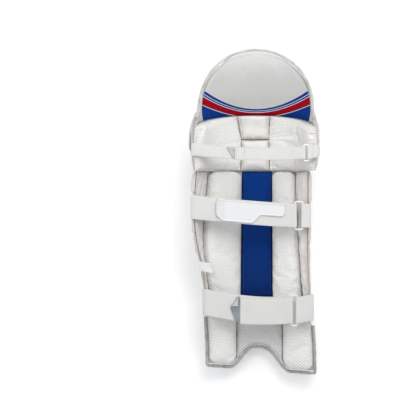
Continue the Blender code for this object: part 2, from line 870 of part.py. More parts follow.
def middle_piece(name: str, low: float | None, high: float, finish: Finish, grid: tuple[int, int]) -> None:
    """A flat piece between the two long bolsters, down to low or else to the toe."""
    gap = SPLIT_GAP / HALF_WIDTH
    left, right = LEG_PIECES[1].right, LEG_PIECES[2].left

    def around(p: float, y: float) -> float:
        return mix(border_at(left, y) + gap, border_at(right, y) - gap, p)

    def place(p: float, q: float, depth: float) -> Vector:
        if low is None:
            y = along_foot(toe_end(lambda y: SHIN.point(around(p, y), y).x), high, q, grid[1])
        else:
            y = mix(low, high, q)
        return SHIN.point(around(p, y), y, depth)

    crowd = (1.0, 0.0 if low is None else 1.0)
    slab(name, place, on_leg_side, inner_pad(STRIP_EDGE, STRIP_DEPTH), grid, finish, crowd)


def leg_side() -> None:
    for piece in LEG_PIECES:
        leg_piece(piece)
    middle_piece("centre_strip", STRIP_END, KNEE_BREAK - 0.5 * SPLIT_GAP, BLUE_MESH, (4, 8))
    middle_piece("foot_panel", None, STRIP_END - SPLIT_GAP, WHITE_MESH, (10, FOOT_ROWS + 1))
    foot_binding()
    size_label()


def foot_binding() -> None:
    """The binding round the toe and up both sides of the foot."""
    beyond = BINDING_RADIUS + BINDING_CLEARANCE
    steps = 22
    sides = {}
    for side, top in ((-1, FOOT_BINDING_LEFT_TOP), (1, FOOT_BINDING_RIGHT_TOP)):
        corner_y = toe_line(SHIN.edge(side, TOE_LINE).x)
        places = [mix(top, corner_y, step / 4) for step in range(5)]
        sides[side] = [SHIN.edge(side, y, beyond) for y in places]
        corner = SHIN.edge(side, corner_y, 0.75 * beyond)
        corner.y -= 0.75 * beyond
        sides[side].append(corner)
    route = sides[-1]
    for step in range(steps + 1):
        around = mix(-1.0, 1.0, step / steps)
        x = SHIN.point(around, TOE_LINE).x
        place = SHIN.point(around, toe_line(x))
        slope = (toe_line(x + beyond) - toe_line(x - beyond)) / (2.0 * beyond)
        route.append(place + beyond * Vector((slope, -1.0, 0.0)).normalized())
    route += reversed(sides[1])
    tube("foot_binding", route, BINDING_RADIUS, GREY_BINDING, closed=False, sides=6)


def size_label() -> None:
    """The small blank tab at the outer wing's edge, which leans in over the lining."""

    def place(p: float, q: float, depth: float) -> Vector:
        start = SHIN.edge(-1, LABEL_PLACE + (q - 0.5) * LABEL_HEIGHT, LAYER_GAP)
        return start + Vector((LABEL_REACH * p, 0.0, LABEL_LIFT * math.sin(0.5 * math.pi * p) + depth))

    slab("size_label", place, lambda p, q: 0.0, lambda p, q: LABEL_DEPTH, (3, 1), WEBBING, (0.0, 0.0))


# Straps and rings


@dataclass(frozen=True)
class Strap:
    """One fastening: its band, its ring and the tether that holds the ring.

    left_y and right_y are the band's middle at its left edge and at the ring. droop is how far it hangs
    towards the foot between them, tether_rise how far the tether climbs to its own edge. crest is the
    height of the band's top run at the left, ring_z that of the ring. end_x is where the free end stops.
    """

    name: str
    shell: Shell
    width: float
    left_y: float
    right_y: float
    droop: float
    tether_rise: float
    crest: float
    sag: float
    bulge: float
    ring_x: float
    ring_width: float
    ring_z: float
    end_x: float

    @property
    def turn(self) -> float:
        """The radius of the band's middle where it turns round a bar."""
        return RING_WIRE + RING_CLEARANCE + 0.5 * BAND_DEPTH

    def bar_x(self, side: float) -> float:
        """The middle of the ring's left (-1) or right (1) bar."""
        return self.ring_x + side * (0.5 * self.ring_width - RING_WIRE)

    def lower_run(self) -> list[tuple[float, float]]:
        """The lower layer's middle in x and z, from the left edge to the ring's left bar."""
        edge = self.shell.edge(-1, self.left_y)
        outer_x = edge.x - self.bulge
        foot_z = max(self.crest - BAND_CORNER, edge.z + BAND_STAND)
        route = [(edge.x - 0.001, edge.z)]
        rise = foot_z - edge.z
        if rise > 0.5 * BAND_CORNER:
            route.append((mix(edge.x, outer_x, 0.8), edge.z + 0.5 * rise))
        for step in range(4):
            angle = 0.5 * math.pi * step / 3
            height = (self.crest - foot_z) * math.sin(angle)
            route.append((outer_x + BAND_CORNER * (1 - math.cos(angle)), foot_z + height))
        run_start = route[-1]
        bar_x, low_z = self.bar_x(-1), self.ring_z - self.turn
        for step in range(1, 7):
            share = step / 6
            drop = self.sag * 4 * share * (1 - share)
            route.append((mix(run_start[0], bar_x, share), mix(run_start[1], low_z, share) - drop))
        return route

    def lower_z(self, x: float) -> float:
        """The height of the lower layer's middle at x, along its top run."""
        run = self.lower_run()[-7:]
        for a, b in zip(run, run[1:]):
            if x <= b[0]:
                return mix(a[1], b[1], (x - a[0]) / (b[0] - a[0]))
        return run[-1][1]

    def middle_y(self, x: float) -> float:
        """The fastening's middle along the pad at x, from its left edge past the ring to the right edge."""
        share = ramp(x, self.shell.edge(-1, self.left_y).x, self.bar_x(-1))
        hang = self.droop * 4 * share * (1 - share)
        rise = self.tether_rise * ramp(x, self.bar_x(1), self.shell.edge(1, self.right_y).x)
        return mix(self.left_y, self.right_y, share) - hang + rise


STRAPS = (
    Strap(
        name="knee",
        shell=UPPER,
        width=KNEE_STRAP_WIDTH,
        left_y=0.1898 * PAD_LENGTH,
        right_y=0.1797 * PAD_LENGTH,
        droop=0.0068 * PAD_LENGTH,
        tether_rise=0.0055 * PAD_LENGTH,
        crest=0.9029 * PAD_HEIGHT,
        sag=0.0118 * PAD_HEIGHT,
        bulge=0.0448 * HALF_WIDTH,
        ring_x=0.8731 * HALF_WIDTH,
        ring_width=KNEE_RING_WIDTH,
        ring_z=0.8971 * PAD_HEIGHT,
        end_x=-0.3284 * HALF_WIDTH,
    ),
    Strap(
        name="calf",
        shell=SHIN,
        width=CALF_STRAP_WIDTH,
        left_y=0.0130 * PAD_LENGTH,
        right_y=-0.0126 * PAD_LENGTH,
        droop=0.0020 * PAD_LENGTH,
        tether_rise=0.0,
        crest=0.8176 * PAD_HEIGHT,
        sag=0.0353 * PAD_HEIGHT,
        bulge=0.0597 * HALF_WIDTH,
        ring_x=0.7537 * HALF_WIDTH,
        ring_width=CALF_RING_WIDTH,
        ring_z=0.6647 * PAD_HEIGHT,
        end_x=-0.6194 * HALF_WIDTH,
    ),
    Strap(
        name="ankle",
        shell=SHIN,
        width=ANKLE_STRAP_WIDTH,
        left_y=-0.2790 * PAD_LENGTH,
        right_y=-0.3042 * PAD_LENGTH,
        droop=0.0082 * PAD_LENGTH,
        tether_rise=0.0082 * PAD_LENGTH,
        crest=0.6118 * PAD_HEIGHT,
        sag=0.0235 * PAD_HEIGHT,
        bulge=0.0522 * HALF_WIDTH,
        ring_x=0.6791 * HALF_WIDTH,
        ring_width=ANKLE_RING_WIDTH,
        ring_z=0.5294 * PAD_HEIGHT,
        end_x=-0.2313 * HALF_WIDTH,
    ),
)


def band(name: str, strap: Strap, route: list[tuple[float, float]], side: float) -> None:
    """A woven band along a route of x and z, whose first end follows the shell's edge."""

    def place(p: float, q: float, depth: float) -> Vector:
        index = int(round(p * (len(route) - 1)))
        before, after = route[max(index - 1, 0)], route[min(index + 1, len(route) - 1)]
        tangent = Vector((after[0] - before[0], 0.0, after[1] - before[1])).normalized()
        x, z = route[index]
        y = strap.middle_y(x) + (q - 0.5) * strap.width
        if index == 0:
            edge = strap.shell.edge(side, y, BAND_STAND)
            x, z = edge.x, edge.z
            tangent = Vector((0.0, 0.0, 1.0))
        return Vector((x, y, z)) + depth * Vector((-tangent.z, 0.0, tangent.x))

    slab(
        name,
        place,
        lambda p, q: -0.5 * BAND_DEPTH,
        lambda p, q: 0.5 * BAND_DEPTH,
        (len(route) - 1, 2),
        WEBBING,
        crowd=(0.0, 0.0),
    )


def strap_band(strap: Strap) -> None:
    """The long band: up from the left edge, across, round the ring's bar and back on itself."""
    route = strap.lower_run()
    bar_x, turns, stops = strap.bar_x(-1), 5, 4
    for step in range(1, turns + 1):
        angle = math.pi * (step / turns - 0.5)
        place = (bar_x + strap.turn * math.cos(angle), strap.ring_z + strap.turn * math.sin(angle))
        route.append(place)
    for step in range(stops + 1):
        x = mix(bar_x - BAND_SETTLE, strap.end_x, step / stops)
        route.append((x, strap.lower_z(x) + BAND_DEPTH + BAND_GAP))
    band(f"{strap.name}_strap", strap, route, -1.0)


def strap_ring(strap: Strap) -> None:
    """A rectangular ring of round wire, with one long bar for each band."""
    half_x = 0.5 * strap.ring_width - RING_WIRE
    half_y = 0.5 * strap.width + 2.0 * RING_WIRE + RING_CLEARANCE
    route = []
    for number, (sx, sy) in enumerate(((1, 1), (-1, 1), (-1, -1), (1, -1))):
        for step in range(3):
            angle = 0.5 * math.pi * (number + step / 2)
            x = strap.ring_x + sx * (half_x - RING_CORNER) + RING_CORNER * math.cos(angle)
            y = strap.right_y + sy * (half_y - RING_CORNER) + RING_CORNER * math.sin(angle)
            route.append(Vector((x, y, strap.ring_z)))
    tube(f"{strap.name}_ring", route, RING_WIRE, WHITE_PLASTIC, closed=True, sides=8)


def strap_tether(strap: Strap) -> None:
    """The short band from the right edge to the ring, folded round the ring's right bar."""
    bar_x, turns = strap.bar_x(1), 5
    edge = strap.shell.edge(1, strap.right_y)
    top_z = strap.ring_z + strap.turn
    outer_x = edge.x + 0.8 * strap.bulge
    foot_z = max(top_z - TETHER_CORNER, edge.z + BAND_STAND)
    route = [(edge.x, edge.z)]
    if foot_z - edge.z > 0.5 * BAND_CORNER:
        route.append((mix(edge.x, outer_x, 0.8), mix(edge.z, foot_z, 0.5)))
    for step in range(4):
        angle = 0.5 * math.pi * step / 3
        inward = TETHER_CORNER * (1 - math.cos(angle))
        route.append((outer_x - inward, foot_z + (top_z - foot_z) * math.sin(angle)))
    for step in range(turns + 1):
        angle = math.pi * (0.5 + step / turns)
        route.append((bar_x + strap.turn * math.cos(angle), strap.ring_z + strap.turn * math.sin(angle)))
    route.append((bar_x + TETHER_FOLD, strap.ring_z - strap.turn))
    band(f"{strap.name}_tether", strap, route, 1.0)


def lies_on_strap(
    name: str,
    strap: Strap,
    span: tuple[float, float],
    layers: int,
    sides: tuple[Callable[[float], float], Callable[[float], float]],
    depth: float,
    columns: int,
    finish: Finish,
) -> None:
    """A flat piece on top of a strap, between two x places and two lines along the pad."""
    low, high = sides

    def place(p: float, q: float, offset: float) -> Vector:
        x = mix(span[0], span[1], p)
        seat = layers * (BAND_DEPTH + BAND_GAP) - 0.5 * BAND_DEPTH
        y = strap.middle_y(x) + mix(low(x), high(x), q)
        return Vector((x, y, strap.lower_z(x) + seat + offset))

    slab(name, place, lambda p, q: 0.0, lambda p, q: depth, (columns, 1), finish, crowd=(0.0, 0.0))


def hook_tab(strap: Strap, length: float) -> None:
    """The grey tab beside a strap's free end."""
    half = 0.5 * strap.width - HOOK_TAB_INSET
    right = strap.end_x - HOOK_TAB_GAP
    sides = (lambda x: -half, lambda x: half)
    span, name = (right - length, right), f"{strap.name}_hook_tab"
    lies_on_strap(name, strap, span, 1, sides, HOOK_TAB_DEPTH, 3, GREY_HOOK)


def moulded_end(strap: Strap) -> None:
    """The moulded end of a strap: a block with cut corners, then a tongue on its upper half."""
    corner = STRAP_END_CORNER
    block_left = strap.end_x - STRAP_END_LAP
    block_right = block_left + BLOCK_LENGTH
    tongue_left = block_right + BLOCK_STEP
    tongue_right = tongue_left + TONGUE_LENGTH

    def upper_side(x: float) -> float:
        return STRAP_END_HALF - corner * (1.0 - ramp(x, block_left, block_left + corner)) ** 2

    def lower_side(x: float) -> float:
        rise = ramp(x, block_right, tongue_left)
        chamfer = corner * 1.3 * (1.0 - ramp(x, block_left, block_left + 1.6 * corner))
        end = corner * ramp(x, tongue_right - corner, tongue_right)
        return mix(-STRAP_END_HALF, TONGUE_LOW, rise) + chamfer + end

    span, sides = (block_left, tongue_right), (lower_side, upper_side)
    lies_on_strap(f"{strap.name}_strap_end", strap, span, 2, sides, STRAP_END_DEPTH, 20, WHITE_RUBBER)


def main() -> None:
    for old in list(bpy.data.objects):
        bpy.data.objects.remove(old)
    shin_ribs()
    wing("wing_left", -1.0, LEFT_GROOVES)
    wing("wing_right", 1.0, RIGHT_GROOVES)
    knee_roll()
    knee_badge()
    top_flap()
    knee_padding()
    leg_side()
    for strap in STRAPS:
        strap_band(strap)
        strap_ring(strap)
        strap_tether(strap)
    knee, calf, ankle = STRAPS
    hook_tab(knee, KNEE_TAB_LENGTH)
    moulded_end(calf)
    hook_tab(ankle, ANKLE_TAB_LENGTH)


main()
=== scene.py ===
"""Dresses the batting pad and lights it for its studio picture.

The pad lies face down on a pale floor with its straps up. Lengths are in metres: +X points right as
seen from the leg side, +Y towards the top flap and +Z from the floor to the leg side.
"""

import logging
import math
from collections.abc import Callable
from dataclasses import dataclass, field
from enum import Enum
from typing import NamedTuple

import bmesh
import bpy
from mathutils import Matrix, Vector, noise
from mathutils.bvhtree import BVHTree


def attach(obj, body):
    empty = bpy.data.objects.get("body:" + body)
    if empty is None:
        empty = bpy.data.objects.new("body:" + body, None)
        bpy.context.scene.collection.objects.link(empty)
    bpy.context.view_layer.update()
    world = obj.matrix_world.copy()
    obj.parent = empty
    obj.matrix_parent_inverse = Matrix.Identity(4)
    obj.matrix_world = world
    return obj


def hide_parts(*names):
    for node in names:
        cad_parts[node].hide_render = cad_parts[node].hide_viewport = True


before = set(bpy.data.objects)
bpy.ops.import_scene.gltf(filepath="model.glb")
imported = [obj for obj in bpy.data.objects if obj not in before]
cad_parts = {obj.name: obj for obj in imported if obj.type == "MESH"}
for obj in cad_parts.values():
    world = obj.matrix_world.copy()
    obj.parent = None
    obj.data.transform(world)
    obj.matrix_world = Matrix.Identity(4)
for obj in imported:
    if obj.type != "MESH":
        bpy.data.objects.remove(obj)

LOG = logging.getLogger("batting_pad")

# Sizes that several pieces share. Gaps lie between neighbours, seats between a cover and the shell.
PAD_LENGTH = 0.732
HALF_WIDTH = 0.134
PAD_HEIGHT = 0.170
SEAM_GAP = 0.0006
KNEE_BREAK = 0.0917
TOE_LINE = -0.3511
TOE_SLANT = -0.075
TOE_GAP = 0.0012
ARCH_PLACE = 0.0135
ARCH_HEIGHT = 0.0510
ARCH_HALF = 0.070
ARCH_FULLNESS = 1.4
KNEE_TOP = 0.2165
KNEE_TOP_FALL = 0.026
ROLL_TOP = 0.2240
FLAP_SHOULDER = 0.2310
FLAP_RISE = 0.1270
FLAP_HALF_WIDTH = 0.1260
FLAP_TURN = math.radians(76.0)
FLAP_CENTRE = 0.0044
FLAP_REACH = (0.1225, 0.1232)
BINDING_RADIUS = 0.0036
BINDING_GAP = 0.00084
FLOOR_GAP = 0.0002
LEG_SEAT = 0.0004
FRONT_SEAT = 0.0009

Pair = tuple[float, float]
Spot = Callable[[float, float], Pair]
Border = Callable[[float], float]
Colour = tuple[float, float, float]
Vert, Shape = bmesh.types.BMVert, bmesh.types.BMesh
Piece, Material, Socket = bpy.types.Object, bpy.types.Material, bpy.types.NodeSocket


class Side(Enum):
    """Which side of the pad a piece is on, as the sign of its depth."""

    FRONT = 1.0
    LEG = -1.0


def mix(low: float, high: float, share: float) -> float:
    """Goes from low to high.

    Args:
        low: The value at a share of 0.
        high: The value at a share of 1.
        share: How far to go.

    Returns:
        The value at that share.
    """
    return low + (high - low) * share


def ramp(value: float, low: float, high: float) -> float:
    """Rises in a straight line between two values.

    Args:
        value: Where to read the line.
        low: The value where it is 0.
        high: The value where it is 1.

    Returns:
        A share from 0 to 1.
    """
    return min(max((value - low) / (high - low), 0.0), 1.0)


def eased(value: float, low: float, high: float) -> float:
    """Rises between two values with soft ends.

    Args:
        value: Where to read the curve.
        low: The value where it is 0.
        high: The value where it is 1.

    Returns:
        A share from 0 to 1.
    """
    share = ramp(value, low, high)
    return share * share * (3.0 - 2.0 * share)


def crown(share: float, power: float) -> float:
    """The height of a stuffed panel across its width.

    Args:
        share: The place across, from 0 to 1.
        power: How flat the top is and how steep the sides.

    Returns:
        0 at both borders and 1 in the middle.
    """
    return math.sqrt(max(0.0, 1.0 - abs(2.0 * share - 1.0) ** power))


# The pad's shell


@dataclass(frozen=True)
class Station:
    """One cross-section of the shell, a U that opens upwards.

    along is a share of PAD_LENGTH; axis, left and right are shares of HALF_WIDTH; front, left_rise and
    right_rise are shares of PAD_HEIGHT; turn is in degrees, from the front to each edge.
    """

    along: float
    axis: float
    left: float
    right: float
    front: float
    left_rise: float
    right_rise: float
    turn: float


SHIN_STATIONS = (
    Station(-0.500, 0.108, 0.868, 0.900, 0.160, 0.082, 0.082, 40),
    Station(-0.410, 0.100, 0.868, 0.898, 0.153, 0.082, 0.082, 40),
    Station(-0.328, 0.078, 0.873, 0.888, 0.159, 0.129, 0.118, 48),
    Station(-0.262, 0.068, 0.881, 0.880, 0.171, 0.212, 0.176, 60),
    Station(-0.186, 0.056, 0.915, 0.860, 0.182, 0.341, 0.262, 74),
    Station(-0.075, 0.048, 1.025, 0.855, 0.194, 0.541, 0.355, 86),
    Station(0.000, 0.046, 1.046, 0.857, 0.206, 0.571, 0.376, 88),
    Station(0.060, 0.045, 1.035, 0.862, 0.218, 0.515, 0.394, 88),
    Station(0.126, 0.036, 1.000, 0.872, 0.224, 0.471, 0.406, 88),
)
UPPER_STATIONS = (
    Station(0.125, 0.012, 1.005, 1.000, 0.206, 0.635, 0.600, 90),
    Station(0.167, 0.014, 1.022, 1.030, 0.190, 0.665, 0.640, 90),
    Station(0.219, 0.014, 1.026, 1.034, 0.190, 0.671, 0.650, 90),
    Station(0.273, 0.018, 1.005, 1.000, 0.224, 0.665, 0.640, 89),
    Station(0.316, 0.026, 0.946, 0.940, 0.376, 0.530, 0.520, 84),
    Station(0.361, 0.033, 0.940, 0.940, 0.553, 0.424, 0.424, 76),
    Station(0.440, 0.033, 0.940, 0.940, 0.788, 0.459, 0.459, 76),
    Station(0.474, 0.033, 0.940, 0.940, 0.841, 0.471, 0.471, 76),
    Station(0.500, 0.033, 0.940, 0.940, 0.865, 0.471, 0.471, 76),
)


class Cut(NamedTuple):
    """The sizes of the U at one place along the pad, in metres and radians."""

    axis: float
    left: float
    right: float
    front: float
    left_rise: float
    right_rise: float
    turn: float


@dataclass
class PadShell:
    """The hidden surface between the front padding and the leg side padding."""

    stations: tuple[Station, ...]
    pitch: float = 0.002
    margin: float = 0.01
    spare: int = 20
    cuts: list[Cut] = field(default_factory=list)

    def __post_init__(self) -> None:
        """Works out the cross-sections once, a pitch apart."""
        steps = int(PAD_LENGTH / self.pitch) + self.spare
        self.cuts = [self.measured((k * self.pitch) - 0.5 * PAD_LENGTH - self.margin) for k in range(steps)]

    def column(self, name: str, along: float) -> float:
        """Reads one size on a smooth curve through the stations.

        Args:
            name: The station's field.
            along: The place, as a share of the pad's length.

        Returns:
            The size there, as the station gives it.
        """
        rows = self.stations
        index = 0
        while index < len(rows) - 2 and along > rows[index + 1].along:
            index += 1
        values = [getattr(row, name) for row in rows]
        slopes = []
        for k in (index, index + 1):
            before, after = max(k - 1, 0), min(k + 1, len(rows) - 1)
            slopes.append((values[after] - values[before]) / (rows[after].along - rows[before].along))
        span = rows[index + 1].along - rows[index].along
        t = min(max((along - rows[index].along) / span, 0.0), 1.0)
        return (
            (2 * t**3 - 3 * t**2 + 1) * values[index]
            + (t**3 - 2 * t**2 + t) * span * slopes[0]
            + (3 * t**2 - 2 * t**3) * values[index + 1]
            + (t**3 - t**2) * span * slopes[1]
        )

    def measured(self, y: float) -> Cut:
        """Works out one cross-section from the stations."""
        along = y / PAD_LENGTH
        return Cut(
            axis=self.column("axis", along) * HALF_WIDTH,
            left=self.column("left", along) * HALF_WIDTH,
            right=self.column("right", along) * HALF_WIDTH,
            front=self.column("front", along) * PAD_HEIGHT,
            left_rise=self.column("left_rise", along) * PAD_HEIGHT,
            right_rise=self.column("right_rise", along) * PAD_HEIGHT,
            turn=math.radians(self.column("turn", along)),
        )

    def cut(self, y: float) -> Cut:
        """Reads the cross-section at one place.

        Args:
            y: The place along the pad.

        Returns:
            The sizes between the two nearest cross-sections.
        """
        place = (y + 0.5 * PAD_LENGTH + self.margin) / self.pitch
        place = min(max(place, 0.0), len(self.cuts) - 1.001)
        low, share = int(place), place - int(place)
        a, b = self.cuts[low], self.cuts[low + 1]
        return Cut(*(mix(before, after, share) for before, after in zip(a, b)))

    def point(self, around: float, y: float, depth: float = 0.0) -> Vector:
        """Finds a point of the shell, or over or under it.

        Args:
            around: The place around the U, from -1 at the left edge to 1 at the right edge.
            y: The place along the pad.
            depth: How far out of the shell within its cross-section, towards the front if positive.

        Returns:
            The point, never under the floor.
        """
        cut = self.cut(y)
        side = -1.0 if around < 0 else 1.0
        half, rise = (cut.left, cut.left_rise) if around < 0 else (cut.right, cut.right_rise)
        angle = abs(around) * cut.turn
        width_scale = half / math.sin(cut.turn)
        rise_scale = rise / (1 - math.cos(cut.turn))
        out = Vector((side * rise_scale * math.sin(angle), 0.0, -width_scale * math.cos(angle)))
        out.normalize()
        place = Vector((cut.axis + side * width_scale * math.sin(angle), y, 0.0))
        place.z = cut.front + rise_scale * (1 - math.cos(angle))
        place += depth * out
        place.z = max(place.z, FLOOR_GAP)
        return place

    def outward(self, around: float, y: float) -> Vector:
        """The direction out of the shell's front within its cross-section."""
        return (self.point(around, y, -0.001) - self.point(around, y, -0.002)).normalized()

    def edge(self, side: float, y: float, beyond: float = 0.0) -> Vector:
        """Finds a point on the shell's edge.

        Args:
            side: -1 for the left edge, 1 for the right.
            y: The place along the pad.
            beyond: How far past the edge, along the shell.

        Returns:
            The point.
        """
        cut = self.cut(y)
        step = Vector((side * math.cos(cut.turn), 0.0, math.sin(cut.turn)))
        return self.point(side, y) + beyond * step

    def around(self, x: float, y: float) -> float:
        """Finds the place around the shell of a point x to the right of the middle.

        Args:
            x: How far right.
            y: The place along the pad.

        Returns:
            The place around, at most the edge.
        """
        cut = self.cut(y)
        half = cut.left if x < cut.axis else cut.right
        share = min(max((x - cut.axis) / half, -1.0), 1.0)
        return math.asin(share * math.sin(cut.turn)) / cut.turn

    def arc(self, around: float, y: float) -> float:
        """The length round the shell from its front line, for patterns that follow the cloth."""
        cut = self.cut(y)
        half, rise = (cut.left, cut.left_rise) if around < 0 else (cut.right, cut.right_rise)
        radius = 0.5 * (half / math.sin(cut.turn) + rise / (1 - math.cos(cut.turn)))
        return around * cut.turn * radius


SHIN = PadShell(SHIN_STATIONS)
UPPER = PadShell(UPPER_STATIONS)


def toe_line(x: float) -> float:
    """The place along the pad of its toe end, with the arch over the instep."""
    reach = min(abs(x - ARCH_PLACE) / ARCH_HALF, 1.0) ** ARCH_FULLNESS
    return TOE_LINE + TOE_SLANT * x + ARCH_HEIGHT * math.cos(0.5 * math.pi * reach) ** 2


def toe_end(x_at: Border) -> float:
    """Finds where a line down the pad meets the toe line.

    Args:
        x_at: The line's x at each place along the pad.

    Returns:
        The place along the pad, just short of the toe line.
    """
    y = TOE_LINE
    for _ in range(10):
        y = 0.5 * (y + toe_line(x_at(y)) + TOE_GAP)
    return y


def flap_around(share: float) -> float:
    """The place around the shell of a share of the flap's half width."""
    return math.asin(share * math.sin(FLAP_TURN)) / FLAP_TURN


def flap_line(share: float, beyond: float = 0.0) -> float:
    """The place along the pad of the flap's top edge, at a share of its half width."""
    return FLAP_SHOULDER + (FLAP_RISE + beyond) * math.sqrt(max(0.0, 1.0 - share * share))


def knee_top(around: float) -> float:
    """The top edge of the leg side knee padding, which falls towards both sides."""
    return KNEE_TOP - KNEE_TOP_FALL * around * around


# Finishes


class NodeBench:
    """Adds and joins the shader nodes of one material."""

    def __init__(self, name: str) -> None:
        """Starts a material with its Principled shader and its coordinates."""
        self.material = bpy.data.materials.new(name)
        self.material.use_nodes = True
        self.tree = self.material.node_tree
        self.shader = self.tree.nodes["Principled BSDF"]
        self.coordinates = self.tree.nodes.new("ShaderNodeTexCoord")

    def put(self, socket: Socket, value: object) -> None:
        """Joins a socket to another one, or sets its constant."""
        if isinstance(value, Socket):
            self.tree.links.new(value, socket)
        elif isinstance(value, tuple) and len(value) == 3 and socket.type == "RGBA":
            socket.default_value = (*value, 1.0)
        else:
            socket.default_value = value

    def add(self, kind: str, options: dict[str, object] | None = None, **inputs: object) -> bpy.types.Node:
        """Adds a node.

        Args:
            kind: The node's type.
            options: Settings of the node itself.
            **inputs: Its inputs by name, with underscores for spaces.

        Returns:
            The node.
        """
        node = self.tree.nodes.new(kind)
        for name, value in (options or {}).items():
            setattr(node, name, value)
        for name, value in inputs.items():
            self.put(node.inputs[name.replace("_", " ")], value)
        return node

    def sum(self, operation: str, *values: object) -> Socket:
        """Adds a Math node.

        Args:
            operation: Its operation.
            *values: Its inputs in order.

        Returns:
            Its result.
        """
        node = self.tree.nodes.new("ShaderNodeMath")
        node.operation = operation
        for socket, value in zip(node.inputs, values):
            self.put(socket, value)
        return node.outputs[0]

    def soft_step(self, value: object, low: float, high: float) -> Socket:
        """A smooth rise from 0 to 1 between two values."""
        node = self.add("ShaderNodeMapRange", {"interpolation_type": "SMOOTHSTEP"}, Value=value)
        node.inputs["From Min"].default_value = low
        node.inputs["From Max"].default_value = high
        return node.outputs["Result"]

    def blend(self, share: object, under: object, over: object) -> Socket:
        """Lays one colour over another.

        Args:
            share: How much of the upper colour shows.
            under: The lower colour.
            over: The upper colour.

        Returns:
            The mixed colour.
        """
        node = self.tree.nodes.new("ShaderNodeMix")
        node.data_type = "RGBA"
        self.put(node.inputs[0], share)
        self.put(node.inputs[6], under)
        self.put(node.inputs[7], over)
        return node.outputs[2]

    def grain(self, scale: float, detail: float = 2.0, source: object = None) -> Socket:
        """Noise on Object coordinates, or on a given vector."""
        vector = source or self.coordinates.outputs["Object"]
        return self.add("ShaderNodeTexNoise", Vector=vector, Scale=scale, Detail=detail).outputs[0]

    def near_seam(self) -> Socket:
        """How near a cover's own seam is, which its mesh carries: 1 on it and 0 a few millimetres off."""
        node = self.add("ShaderNodeAttribute", {"attribute_name": "seam"})
        return node.outputs["Fac"]

    def relief(self, height: object, depth: float, under: object = None) -> Socket:
        """Bumps the surface.

        Args:
            height: The height, from 0 to 1.
            depth: How high a height of 1 stands, in metres.
            under: The normal that it is added to.

        Returns:
            The bumped normal.
        """
        bump = self.add("ShaderNodeBump", Height=height, Distance=depth)
        if under is not None:
            self.put(bump.inputs["Normal"], under)
        return bump.outputs[0]

    def finish(self, colour: object, roughness: object, normal: object) -> Material:
        """Joins colour, roughness and normal to the shader and hands the material over."""
        self.put(self.shader.inputs["Base Color"], colour)
        self.put(self.shader.inputs["Roughness"], roughness)
        self.put(self.shader.inputs["Normal"], normal)
        return self.material


@dataclass(frozen=True)
class CoatedLeather:
    """Smooth white leather with a fine pebble grain and soft creases."""

    name: str
    colour: Colour = (0.735, 0.735, 0.715)
    shade: Colour = (0.66, 0.655, 0.63)
    # seam is the colour of the painted shade near the seams.
    seam: Colour = (0.46, 0.40, 0.36)
    roughness: float = 0.48
    gloss_level: float = 0.32
    grain_size: float = 950.0

    def tone(self, bench: NodeBench) -> Socket:
        """The leather's colour: faint patches, and a warm painted shade where it runs into a seam, which
        stands in for the shade in the seam's groove.
        """
        patches = bench.soft_step(bench.grain(11.0, 4.0), 0.42, 0.72)
        colour = bench.blend(bench.sum("MULTIPLY", patches, 0.45), self.colour, self.shade)
        # Painted shade: near the seams the colour turns to seam.
        return bench.blend(bench.sum("MULTIPLY", bench.near_seam(), 0.55), colour, self.seam)

    def surface(self, bench: NodeBench) -> tuple[Socket, Socket]:
        """The roughness and the grained normal that every coated leather here shares."""
        pebble = bench.add(
            "ShaderNodeTexVoronoi", Vector=bench.coordinates.outputs["Object"], Scale=self.grain_size
        ).outputs["Distance"]
        creases = bench.grain(46.0, 5.0)
        normal = bench.relief(pebble, 0.00018, bench.relief(creases, 0.0008))
        bench.shader.inputs["Specular IOR Level"].default_value = self.gloss_level
        gloss = bench.sum("MULTIPLY_ADD", bench.grain(22.0, 3.0), 0.16, self.roughness - 0.08)
        return gloss, normal

    def material(self) -> Material:
        """Builds the material."""
        bench = NodeBench(self.name)
        gloss, normal = self.surface(bench)
        return bench.finish(self.tone(bench), gloss, normal)


@dataclass(frozen=True)
class StripedLeather(CoatedLeather):
    """The flap's white leather, printed with arched bands that widen towards both sides.

    Each band starts at a height over the pad's middle, rises with the square of x, and is given with
    the ink above its lower line. The print ends at the flap's inner line, an ellipse.
    """

    colour: Colour = (0.625, 0.625, 0.61)
    shade: Colour = (0.575, 0.57, 0.55)
    blue: Colour = (0.0004, 0.038, 0.260)
    red: Colour = (0.330, 0.0006, 0.012)
    roughness: float = 0.6
    gloss_level: float = 0.06
    white: Colour = (0.78, 0.78, 0.76)
    line_softness: float = 0.0002
    print_end: Pair = (0.985, 0.995)
    bands: tuple[tuple[float, float, str], ...] = (
        (0.2118, 1.80, "white"),
        (0.2131, 1.80, "red"),
        (0.2226, 2.45, "white"),
        (0.2239, 2.47, "blue"),
        (0.2262, 2.62, "white"),
        (0.2272, 2.66, "blue"),
        (0.2310, 2.95, "leather"),
    )

    def material(self) -> Material:
        """Builds the material."""
        bench = NodeBench(self.name)
        gloss, normal = self.surface(bench)
        split = bench.add("ShaderNodeSeparateXYZ", Vector=bench.coordinates.outputs["Object"])
        off_centre = bench.sum("SUBTRACT", split.outputs["X"], FLAP_CENTRE)
        squared = bench.sum("POWER", bench.sum("ABSOLUTE", off_centre), 2.0)
        leather = self.tone(bench)
        inks = {"blue": self.blue, "red": self.red, "white": self.white, "leather": leather}
        printed = inks["blue"]
        for centre, rise, ink in self.bands:
            height = bench.sum("MULTIPLY_ADD", squared, -rise, split.outputs["Y"])
            share = bench.soft_step(height, centre - self.line_softness, centre + self.line_softness)
            printed = bench.blend(share, printed, inks[ink])
        along = bench.sum("DIVIDE", bench.sum("SUBTRACT", split.outputs["Y"], FLAP_SHOULDER), FLAP_REACH[1])
        across = bench.sum("DIVIDE", squared, FLAP_REACH[0] ** 2)
        outside = bench.soft_step(bench.sum("MULTIPLY_ADD", along, along, across), *self.print_end)
        return bench.finish(bench.blend(outside, printed, leather), gloss, normal)


